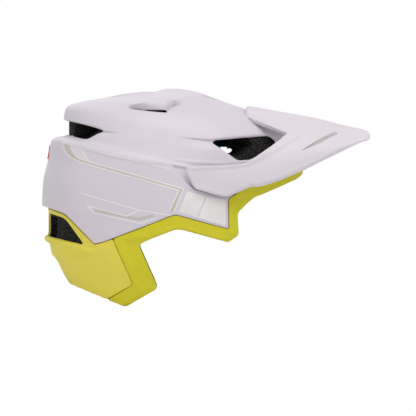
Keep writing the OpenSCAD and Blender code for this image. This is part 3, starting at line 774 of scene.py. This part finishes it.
def pastLine(u, v, line):
    # Distance past a polyline, on its right as it is drawn
    best = np.full(len(u), 1e9)
    sign = np.ones(len(u))
    for (x0, y0), (x1, y1) in zip(line, line[1:]):
        dx, dy = x1 - x0, y1 - y0
        t = np.clip(((u - x0) * dx + (v - y0) * dy) / (dx * dx + dy * dy), 0, 1)
        d = np.hypot(u - x0 - t * dx, v - y0 - t * dy)
        s = np.sign((v - y0) * dx - (u - x0) * dy)
        sign = np.where(d < best, s, sign)
        best = np.minimum(best, d)
    return best * -sign


def trimRelief(co):
    x, z = co[:, 0], co[:, 2]
    rim = rolled(awayFrom(x, z, rimEdge, closed=False), trimLook["rimRoll"])
    seam = rolled(awayFrom(x, z, softTrim), trimLook["seamRoll"])
    leg = ease(-z, 30, 40) * (x < 0)
    past = pastLine(x, z, facetLine)
    rise = trimLook["rise"]
    facet = np.where(past > 0, rise * (1 - ease(past, 0, 8)), rise + trimLook["facet"] * past)
    front = pastLine(x, z, frontBevel)
    bevel = trimLook["facet"] * np.minimum(front, 0) * (x > 66) * (z < 16)
    under = np.maximum(facet * leg + bevel, trimLook["deepest"])
    return np.maximum(np.minimum(rim, seam) + under, trimLook["deepest"] - 0.2), under


def buildTrim():
    bm = ringSheet(trimRings)
    edged(bm, trimOutline, trimLook["corner"], (0.5, 1.5))
    lined(bm, [facetLine, frontBevel])
    keptWithin(bm, [softTrim])
    cleaned(bm)
    trim = thickened(bm, "trimSkin", trimRelief, trimLook["thickness"], brightPaint)
    return settled(trim, "helmet", "bright_yellow", "lower_trim")


def coverRelief(co):
    x, z = co[:, 0], co[:, 2]
    side = np.abs(co[:, 1])
    seam = rolled(awayFrom(x, z, softCover), coverLook["seamRoll"])
    vent = np.where(side > 4.5, rolled(awayFrom(x, z, softLow), coverLook["ventRoll"]), 0)
    ridge = pastLine(x, z, coverRidge)
    lip = coverLook["lip"] * np.sqrt(np.maximum(0, 1 - (ridge / coverLook["lipHalf"]) ** 2))
    lip = lip * (1 - ease(x, -88, -70))
    scoop = -coverLook["scoop"] * np.exp(-((ridge + 5.5) / 3.0) ** 2) * windowed(x, -100, -90, -84, -68)
    fold = -coverLook["fold"] * np.clip(pastLine(x, z, coverFold), 0, 6)
    crease = -coverLook["crease"] * np.clip(pastLine(x, z, coverCrease), 0, 5) * (z < -36)
    under = np.maximum(lip + scoop + fold + crease, coverLook["deepest"])
    return under + np.minimum(seam, vent), under


def buildCover():
    bm = ringSheet(trimRings, high=70)
    edged(bm, coverEdge, coverLook["corner"], (0.8,))
    edged(bm, lowVent, coverLook["ventCorner"], (-0.7, -2.2))
    lined(bm, [shifted(coverRidge, away) for away in (3.2, 1.6, 0, -1.6, -3.2)] + [coverFold, coverCrease])
    post = coverLook["post"]
    for y in (-post, post):
        scored(bm, [(-150, y), (-60, y)], planAxes, lambda centre: centre[:, 0] < -60, closed=False)
    keptWithin(bm, [softCover])
    cutAway(bm, [softLow], zone=lambda centre: np.abs(centre[:, 1]) > post)
    cleaned(bm)
    cover = thickened(bm, "coverSkin", coverRelief, coverLook["thickness"], palePaint)
    return settled(cover, "helmet", "pale_yellow", "rear_cover")


trimSkin = buildTrim()
coverSkin = buildCover()
print("trim and cover built", len(trimSkin.data.polygons), len(coverSkin.data.polygons))


visorLook = {
    "thickness": 2.6, "half": 110.96, "corner": 3.0, "lipRoll": 2.3, "lip": 3.4, "lipSlope": 0.5,
    "band": 1.4, "notch": 0.48, "flank": 0.5, "bowl": 0.10, "groove": 1.6, "grooveCorner": 1.5,
    "grooveFrom": 12}
# reach, crown height, edge height, half width less than the widest, sweep of the corners, in mm
visorStations = [
    (14, 119, 8, 0, 0), (42, 117, 8, 0, 0), (66, 115, 8, 3.5, 0), (94, 112.8, 9, 8, 0),
    (112, 109.6, 15, 11, 0), (134, 105.7, 25, 14, 0), (154, 102.2, 35, 17, 0.5), (178, 97.3, 49, 21, 1.5),
    (204, 91.6, 62, 25, 3), (220, 88, 71, 29, 4.5), (226, 85, 75, 31, 5), (232, 82, 78, 33, 5.5)]
visorArch = [
    (1, 0), (0.995, 0.14), (0.985, 0.28), (0.95, 0.44), (0.88, 0.58), (0.78, 0.71), (0.66, 0.80),
    (0.53, 0.86), (0.415, 0.905), (0.37, 0.965), (0.32, 0.99), (0.16, 1.0), (0, 1)]
visorEdge = [
    (88, 105), (90, 118), (221, 118), (223, 88.5), (226.6, 83.4), (224.4, 79.8), (154.7, 44.7),
    (126.2, 32.3), (107.7, 26.4), (99.4, 25.2), (94.6, 25.5), (70.2, 14.6), (64.1, 15), (33.6, 23),
    (30.1, 27.7), (22.9, 42.4), (22.4, 47.3), (67, 49.2), (86.4, 50.6), (97.4, 56.1), (123.5, 75.4),
    (134.5, 83.6), (90.4, 101.6)]
visorSlot = [
    (148.2, 64.4), (163.9, 74.9), (177.1, 82.3), (184.8, 86), (191.4, 87.4), (197.5, 86.6), (191.4, 83.8),
    (181.5, 79.7), (170.5, 73.6), (159.5, 68.7)]
slotFloor = [
    (148.7, 65), (163.9, 74.7), (177.1, 82), (184.5, 85.6), (188.4, 86.3), (190.8, 84), (181.5, 79.9),
    (170.5, 73.8), (159.5, 68.9)]
notchLine = [(90, 101.8), (134.5, 83.6), (159.5, 89.2), (196, 86.5)]
bandLow = [
    (159.5, 89.2), (145.5, 77), (129.5, 66.4), (108.5, 55.2), (97.2, 49.6), (88, 46.4), (64, 44), (22, 42)]
tongueCrease = [(90, 103.4), (92, 104.4), (120, 98.6), (152, 91.4), (160, 89.2), (196, 87.5)]
armLow = [(20, 44), (46, 42), (60, 36), (84, 32), (104, 27)]
softVisor = softened(visorEdge, visorLook["corner"])
softSlot = softened(visorSlot, visorLook["grooveCorner"])


def visorGrid():
    at = np.array([s[0] for s in visorStations], float)
    xs = np.unique(np.concatenate([np.arange(at[0], at[-1], 2.2), at]))
    crown, edge, narrow, sweep = (monotone(at, [s[k] for s in visorStations], xs) for k in (1, 2, 3, 4))
    arch = np.array(visorArch)
    run = np.concatenate([[0], np.cumsum(np.hypot(np.diff(arch[:, 0]), np.diff(arch[:, 1])))])
    half = np.linspace(0, run[-1], 70)
    a, b = (monotone(run, arch[:, k], half) for k in (0, 1))
    a = np.concatenate([a, -a[-2::-1]])
    b = np.concatenate([b, b[-2::-1]])
    grid = np.zeros((len(xs), len(a), 3))
    for i, x in enumerate(xs):
        grid[i, :, 0] = x - sweep[i] * a * a
        grid[i, :, 1] = a * (visorLook["half"] - narrow[i])
        grid[i, :, 2] = edge[i] + (crown[i] - edge[i]) * b
    return grid


def grooved(co):
    return np.abs(co[:, 1]) > visorLook["grooveFrom"]


def visorRelief(co):
    x, z = co[:, 0], co[:, 2]
    d = awayFrom(x, z, softVisor)
    edge = rolled(d, visorLook["lipRoll"]) * (1 - 0.55 * (z > 78) * (x < 140))
    low = awayFrom(x, z, visorEdge[5:12], closed=False)
    bevel = -visorLook["lipSlope"] * np.clip(visorLook["lip"] - low, 0, None) + rolled(low, 0.7)
    edge = np.where(low < d + 1, bevel, edge)
    groove = visorLook["groove"] * ease(inward(x, z, softSlot), -0.1, 0.6) * grooved(co)
    past = pastLine(x, z, bandLow)
    notch = pastLine(x, z, notchLine)
    arm = np.where(x > 134, ease(notch, -2, 3), notch > 0)
    inner = visorLook["notch"] * np.clip(past, 0, 4) * arm * (1 - ease(x, 151, 160))
    flank = pastLine(x, z, tongueCrease)
    crown = visorLook["band"] * np.exp(-(np.clip(-flank, 0, 30) / 24) ** 2)
    upper = (crown - visorLook["flank"] * np.clip(flank, 0, 5)) * (1 - arm)
    band = inner + upper * (1 - ease(x, 168, 196)) * (x > 90)
    band = band - visorLook["bowl"] * np.clip(pastLine(x, z, armLow), 0, 14) * (x < 104)
    return band + edge - groove, band


def buildVisor():
    bm = sheetFromGrid(visorGrid(), closed=False)
    edged(bm, visorEdge, visorLook["corner"], (0.7, visorLook["lipRoll"], visorLook["lip"]))
    scored(bm, softSlot)
    scored(bm, slotFloor)
    lined(bm, [bandLow, notchLine[1:], tongueCrease])
    keptWithin(bm, [softVisor])
    cleaned(bm, 0.1)
    visor = thickened(bm, "visorSkin", visorRelief, visorLook["thickness"], visorPaint)
    return settled(visor, "visor", "lilac_visor", "visor")


def floorRelief(co):
    shift = visorRelief(co)[0] + 0.1
    return shift, shift


def buildGrooveFloor():
    # Matt floor of the two blind grooves, a beige-grey sheet that is painted shade for the dark inside of
    # each groove
    bm = sheetFromGrid(visorGrid(), closed=False)
    keptWithin(bm, [[(140, 55), (140, 95), (205, 95), (205, 55)]])
    scored(bm, slotFloor)
    keptWithin(bm, [slotFloor], sideAxes, grooved)
    cleaned(bm, 0.05)
    settled(thickened(bm, "visorGrooveFloor", floorRelief, 0.3, grooveShadePaint), "visor", "lilac_visor")


visorSkin = buildVisor()
buildGrooveFloor()
print("visor built", len(visorSkin.data.polygons))


padLook = {
    "thickness": 6.7, "rim": 1.4, "border": 1.8, "swell": 6.5, "channel": 1.7, "channelDeep": 3.0,
    "pinch": 1.1, "corner": 7.0, "rowStep": 2.4, "around": 240, "margin": 4,
    "fromFoam": 0.45, "fromLiner": 1.95}
# reaches of the foam's hollow, and the height at which its round top begins, in mm
headSize = {"reach": 142, "half": 108.5, "top": 52, "topFall": 83.5}
headRings = [
    (-132, -78, 96, 72, -10), (-116, -86, 98, 74, -10), (-90, -93, 99, 78, -10),
    (-60, -100.5, 100, 81, -10), (-20, -107.5, 104, 83.5, -8), (20, -109, 112, 84, -4),
    (52, -102, 117, 80, 2), (66, -92, 115, 73, 6), (80, -74, 104, 61, 12), (92, -50, 84, 44, 16),
    (100, -24, 60, 26, 20), (104, 6, 34, 8, 20)]


def headGrid(inset, low, high):
    rows = easedRows(headRings, padLook["rowStep"])
    rows = rows[(rows[:, 0] > low) & (rows[:, 0] < high)]
    grid = ringGrid(rows, padLook["around"])
    rise = grid[:, :, 2] + shellForm["fall"] * grid[:, :, 0]
    top = headSize["top"]
    rise = np.where(rise > top, top + (rise - top) * (1 - inset / headSize["topFall"]), rise)
    grid[:, :, 0] *= 1 - inset / headSize["reach"]
    grid[:, :, 1] *= 1 - inset / headSize["half"]
    grid[:, :, 2] = rise - shellForm["fall"] * grid[:, :, 0]
    return grid


def pinched(outline):
    # Long edges drawn in a little between their corners
    made = []
    for p, q in zip(outline, outline[1:] + outline[:1]):
        p, q = np.array(p, float), np.array(q, float)
        size = np.hypot(*(q - p))
        made.append(tuple(p))
        if size > 18:
            inwards = np.array((-(q - p)[1], (q - p)[0])) / size
            for t in (0.25, 0.5, 0.75):
                made.append(tuple(p + (q - p) * t + inwards * padLook["pinch"] * 4 * t * (1 - t)))
    return made


def buildPad(name, node, outline, axes, zone, inset, reach, channels, channelAxes):
    pts = np.array(outline, float)
    shape = pinched(outline[::turnOf(outline)])
    bm = sheetFromGrid(headGrid(inset, *reach), capLast=reach[1] > 104)
    (left, low), (right, high) = pts.min(axis=0) - padLook["margin"], pts.max(axis=0) + padLook["margin"]
    keptWithin(bm, [[(left, low), (right, low), (right, high), (left, high)]], axes, zone)
    edge = softened(shape, padLook["corner"])
    for away in (0, 1.0, 2.0, 3.2, 5.0):
        scored(bm, insetBy(shape, away, max(padLook["corner"] - away, 2)), axes)
    keptWithin(bm, [edge], axes, zone)
    cleaned(bm, 0.2)

    def relief(co):
        d = awayFrom(co[:, axes[0]], co[:, axes[1]], edge)
        t = np.clip((d - padLook["border"]) / padLook["swell"], 0, 1)
        body = padLook["rim"] + (padLook["thickness"] - padLook["rim"]) * np.sqrt(1 - (1 - t) ** 2)
        for line in channels:
            gap = awayFrom(co[:, channelAxes[0]], co[:, channelAxes[1]], line, closed=False)
            body = body - padLook["channelDeep"] * np.exp(-(gap / padLook["channel"]) ** 2) * ease(t, 0, 0.5)
        return -0.2 * np.ones(len(d)), -body

    pad = thickened(bm, name, relief, 0, padKnit, 60)
    return settled(pad, "helmet", "pad_fabric", node)


browCut = [
    (74.5, 8.6), (84, 4.8), (112, 32.6), (140, 44.6), (140, 61), (112, 57.2), (84, 39.4), (74.5, 27.6)]
crownCut = [(-88.6, -8.6), (101.5, -8.6), (101.5, 8.6), (-88.6, 8.6)]
crownSideCut = [(-29.5, 51), (0, 57), (35.5, 45), (35.5, 87), (-29.5, 91)]
earCut = [(-75.5, -62.6), (-36.6, -58.8), (-24.9, -78), (-44.4, -98), (-73.6, -87.4)]
napeCut = [
    (-43.4, 42.9), (-25, 45), (0, 46), (25, 45), (43.4, 42.9), (43.4, 59.6), (25, 61.8), (0, 62.8),
    (-25, 61.8), (-43.4, 59.6)]


def buildPads():
    # name, node, outline, axes, zone, distance from the foam, heights, sewn channels and their axes
    foam, liner = padLook["fromFoam"], padLook["fromLiner"]
    buildPad("browPad", "brow_pad", browCut, sideAxes, lambda c: c[:, 0] > 60, foam, (10, 100),
             [[(y, 0), (y, 70)] for y in (-50, -26, 0, 26, 50)], rearAxes)
    buildPad("crownPad", "crown_pad", crownCut, planAxes, lambda c: c[:, 2] > 56, liner, (50, 120),
             [[(x, -20), (x, 20)] for x in (-52, -14, 24, 62)], planAxes)
    for side, end in ((1, "Left"), (-1, "Right")):
        buildPad("crownPad" + end, "crown_pad_" + end.lower(), crownSideCut, sideAxes,
                 lambda c: c[:, 1] * side > 34.4, liner, (30, 104),
                 [[(-10, 60), (-8, 86)], [(14, 57), (14, 84)]], sideAxes)
    for side, end in ((1, "Left"), (-1, "Right")):
        buildPad("earPad" + end, "ear_pad_" + end.lower(), earCut, sideAxes,
                 lambda c: c[:, 1] * side > 20, foam, (-125, -50), [[(-60, -62), (-54, -92)]], sideAxes)
    buildPad("napePad", "nape_pad", napeCut, rearAxes, lambda c: c[:, 0] < -60, liner, (10, 80),
             [[(y, 30), (y, 70)] for y in (-15, 15)], rearAxes)


def knitFinish():
    finish = Finish("padKnit", Specular_IOR_Level=0.25, Sheen_Weight=0.35, Sheen_Roughness=0.5)
    loops = finish.cells(1500.0)
    ribs = finish.wave("Z", 300.0, 1.5)
    drift = finish.noise(60.0, 3.0)
    worn = (loops * 1.3 + drift * 0.4).clamped()
    tint = finish.mix(worn, rgb(0.034, 0.034, 0.038), rgb(0.012, 0.012, 0.014))
    return finish.dressed(tint, 0.8 + (drift - 0.5) * 0.15, loops * 0.6 + ribs * 0.5, 0.7, 0.00035)


def webbingFinish():
    finish = Finish("wovenWebbing", Specular_IOR_Level=0.3, Sheen_Weight=0.2)
    ribs = finish.wave("Z", 270.0, 0.4)
    yarns = finish.wave("X", 240.0, 0.4)
    worn = finish.noise(90.0, 3.0)
    weave = ribs * 0.6 + yarns * 0.4
    tint = finish.mix(weave, rgb(0.010, 0.010, 0.011), rgb(0.040, 0.040, 0.043))
    return finish.dressed(tint, 0.62 + (worn - 0.5) * 0.2, weave, 0.8, 0.0003)


padKnit = knitFinish()
webbing = webbingFinish()
buildPads()
print("pads made")


strapLook = {
    "middle": 9, "out": 63, "up": -8, "width": 19, "slack": 0.15, "thickness": 1.5, "ring": 3.25,
    "corner": 0.7, "face": 3.7, "foldOut": 2.95, "foldUp": 47.9, "foldBend": 3.6}
strapBars = (-26, 44)
strapSeams = [(-37, 1.5), (-14, 1.5)], [(32, 1.5), (56, 1.5)]
strapLegs = [
    (-35.5, -8), (-16.5, -8), (-16.5, -2), (9, 17), (34.5, -2), (34.5, -8), (53.5, -8), (53.5, -2),
    (18.5, 28), (18.5, 52), (-0.5, 52), (-0.5, 28), (-35.5, -2)]


def tape(path, middle, closed=False):
    # Flat band of webbing whose middle follows a path of outward and upward points
    path = np.array(path, float)
    step = (np.roll(path, -1, axis=0) - np.roll(path, 1, axis=0)) if closed else np.gradient(path, axis=0)
    step = step / np.hypot(step[:, 0], step[:, 1])[:, None]
    across = np.stack([-step[:, 1], step[:, 0]], axis=1)
    w, t, r = (strapLook[key] / 2 for key in ("width", "thickness", "corner"))
    w -= strapLook["slack"]
    section = [(-w + r, -t), (0, -t), (w - r, -t), (w, -t + r), (w, t - r), (w - r, t), (0, t), (-w + r, t),
               (-w, t - r), (-w, -t + r)]
    points, faces = [], []
    for p, n in zip(path, across):
        points += [(middle + u, p[0] + v * n[0], p[1] + v * n[1]) for u, v in section]
    size, count = len(section), len(path)
    for i in range(count if closed else count - 1):
        a, b = i * size, (i + 1) % count * size
        faces += [[a + k, a + (k + 1) % size, b + (k + 1) % size, b + k] for k in range(size)]
    if not closed:
        faces += [list(range(size))[::-1], [(count - 1) * size + k for k in range(size)]]
    return points, faces


def legRelief(co):
    edge = rolled(awayFrom(co[:, 0], co[:, 2], strapLegs), 0.5)
    seam = np.minimum(*(awayFrom(co[:, 0], co[:, 2], line, closed=False) for line in strapSeams))
    return edge - 0.25 * np.exp(-(seam / 0.7) ** 2), np.zeros(len(co))


def buildStrap(side, name, node, body):
    out, up = strapLook["out"], strapLook["up"]
    xs, zs = np.arange(-38, 57, 1.6), np.arange(-10, 54, 1.6)
    grid = np.array([[(x, out + strapLook["face"], z) for x in xs[::-1]] for z in zs])
    bm = sheetFromGrid(grid, closed=False)
    scored(bm, strapLegs)
    scored(bm, insetBy(strapLegs, 0.5, 0.4))
    keptWithin(bm, [strapLegs])
    cleaned(bm, 0.1)
    points, faces = closedSheet(bm, legRelief, strapLook["thickness"])
    points = points.tolist()
    turns = np.linspace(0, 2 * math.pi, 28, endpoint=False)
    ring = [(out + strapLook["ring"] * math.cos(a), up + strapLook["ring"] * math.sin(a)) for a in turns]
    foldOut, r = strapLook["foldOut"], strapLook["foldBend"]
    bend = [(out + foldOut - r + r * math.cos(a), strapLook["foldUp"] + r * math.sin(a))
            for a in np.linspace(0, math.pi, 12)]
    fold = [(out + foldOut, z) for z in np.arange(40, 47, 1.8)] + bend
    fold += [(bend[-1][0] - 0.35 * ease(46 - z, 0, 8), z) for z in np.arange(46, 18, -2.2)]
    parts = [tape(ring, x, True) for x in strapBars] + [tape(fold, strapLook["middle"])]
    for more, cells in parts:
        start = len(points)
        points += [list(p) for p in more]
        faces += [[i + start for i in cell] for cell in cells]
    if side < 0:
        points = [(x, -y, z) for x, y, z in points]
        faces = [cell[::-1] for cell in faces]
    settled(meshed(name, points, faces, webbing, 50), body, "webbing", node)


chinLook = {
    "middle": 9, "out": 57.5, "tunnelOut": 58.8, "low": 27.2, "tall": 12.6, "half": 11.4, "deep": 2.0,
    "swellHalf": 0.6, "swellDeep": 1.7, "seam": 0.25, "round": 0.45, "tunnel": (10.0, 1.0, 0.3)}


def oval(out, height, turns, half, deep, roundness):
    # One ring of the chin pad: a rounded oblong at a height
    made = []
    for a in turns:
        u = half * np.sign(math.cos(a)) * abs(math.cos(a)) ** roundness
        v = deep * np.sign(math.sin(a)) * abs(math.sin(a)) ** roundness
        made.append((chinLook["middle"] + u, -(out + v), height))
    return made


def buildChinPad():
    # Padded sleeve that the webbing passes through
    turns = np.linspace(0, 2 * math.pi, 56, endpoint=False)
    heights = np.linspace(0, 1, 19)
    rings, tunnel = [], []
    for t in heights:
        full = math.sin(math.pi * t) ** 0.35 if 0 < t < 1 else 0
        seam = chinLook["seam"] * math.exp(-((t - 0.5) / 0.05) ** 2)
        rings.append(oval(chinLook["out"], chinLook["low"] + chinLook["tall"] * t, turns,
                          chinLook["half"] + chinLook["swellHalf"] * full - seam,
                          chinLook["deep"] + chinLook["swellDeep"] * full - seam, chinLook["round"]))
    for t in heights[::-1]:
        tunnel.append(oval(chinLook["tunnelOut"], chinLook["low"] + chinLook["tall"] * t, turns,
                           *chinLook["tunnel"]))
    points = [p for ring in rings + tunnel for p in ring]
    size, count = len(turns), len(rings) + len(tunnel)
    faces = []
    for i in range(count):
        a, b = i * size, (i + 1) % count * size
        faces += [[a + k, b + k, b + (k + 1) % size, a + (k + 1) % size] for k in range(size)]
    pad = meshed("chinPad", points, faces, padKnit, 70)
    settled(pad, "right_strap", "pad_fabric", "chin_pad")


buildStrap(1, "strapLeft", "strap_left", "left_strap")
buildStrap(-1, "strapRight", "strap_right", "right_strap")
buildChinPad()
print("straps made")


nodeFinish = {
    "foam_liner": foamBlack, "slip_liner": filmTeal, "rear_reflector": redPrism, "dial_pinion": nylonGrey,
    "visor_socket_left": nylonGrey, "visor_socket_right": nylonGrey}
# finish of the other nodes by a word in their names, where the last one found counts
wordFinish = {
    "buckle": acetalBlack, "divider": acetalBlack, "knob": acetalBlack, "keeper": rubberBlack,
    "washer": rubberBlack, "slip_anchors": rubberBlack, "pad": rubberBlack, "strap_left": rubberBlack,
    "strap_right": rubberBlack}
for name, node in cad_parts.items():
    finish = nodeFinish.get(name, nylonBlack)
    for word, other in wordFinish.items():
        if word in name:
            finish = other
    node.data.materials.clear()
    node.data.materials.append(finish)


# places and sizes of the stage in m, powers of the lamps in W
stageLook = {
    "floor": 0.93, "floorSize": 14.0, "gap": 0.0005, "ambient": 0.45, "key": 25.0, "fill": 3.0,
    "aim": (0.04, 0, 0.02), "viewWidth": 0.4576, "away": 18.0, "lookAt": (0.0473, 0.0022), "sensor": 36,
    "clipEnd": 60}
white = rgb(1, 1, 1)


def buildFloor():
    mesh = bpy.data.meshes.new("studioFloor")
    low, far = cadBox[0][2] - stageLook["gap"], stageLook["floorSize"]
    corners = [(-far, -far, low), (far, -far, low), (far, far, low), (-far, far, low)]
    mesh.from_pydata(corners, [], [(0, 1, 2, 3)])
    floor = linked(bpy.data.objects.new("studioFloor", mesh))
    finish = Finish("studioWhite", Roughness=0.9)
    level = stageLook["floor"]
    finish.feed("Base Color", finish.mix(finish.noise(3.0), rgb(level, level, level),
                                         shade((level, level, level), 1.01)))
    finish.shown(finish.node("MixShader", i0=finish.node("LightPath", out="Is Camera Ray"),
                             i1=finish.surface, i2=finish.node("Emission")))
    mesh.materials.append(finish.material)


def buildWorld():
    # White where the camera or a reflection sees it, and dimmer as a light
    world = bpy.data.worlds.new("studioWorld")
    bpy.context.scene.world = world
    nodes = Nodes(world)
    camera, glossy = (nodes.node("LightPath", out=ray) for ray in ("Is Camera Ray", "Is Glossy Ray"))
    dim = nodes.node("Background", Color=white, Strength=stageLook["ambient"])
    seen = nodes.node("Background", Color=white, Strength=1.0)
    nodes.node("OutputWorld", Surface=nodes.node("MixShader", i0=camera.math("MAXIMUM", camera, glossy),
                                                 i1=dim, i2=seen))


def addLamp(name, place, size, power):
    lamp = bpy.data.lights.new(name, "AREA")
    lamp.size = size
    lamp.energy = power
    holder = linked(bpy.data.objects.new(name, lamp))
    holder.location = place
    aim = Vector(stageLook["aim"]) - Vector(place)
    holder.rotation_euler = aim.to_track_quat("-Z", "Y").to_euler()


def addCamera():
    camera = bpy.data.cameras.new("photoCamera")
    camera.sensor_width = stageLook["sensor"]
    camera.lens = stageLook["sensor"] * stageLook["away"] / stageLook["viewWidth"]
    camera.clip_end = stageLook["clipEnd"]
    holder = linked(bpy.data.objects.new("photoCamera", camera))
    across, up = stageLook["lookAt"]
    holder.location = (across, -stageLook["away"], up)
    holder.rotation_euler = (math.pi / 2, 0, 0)
    bpy.context.scene.camera = holder


buildFloor()
buildWorld()
addLamp("topKey", (0.45, -1.05, 2.05), 1.3, stageLook["key"])
addLamp("sideFill", (-2.3, -1.2, 0.7), 1.5, stageLook["fill"] * 1.5)
addLamp("backFill", (-0.6, 2.0, 1.4), 1.5, stageLook["fill"])
addCamera()
bpy.context.scene.view_settings.view_transform = "Standard"
print("stage set")
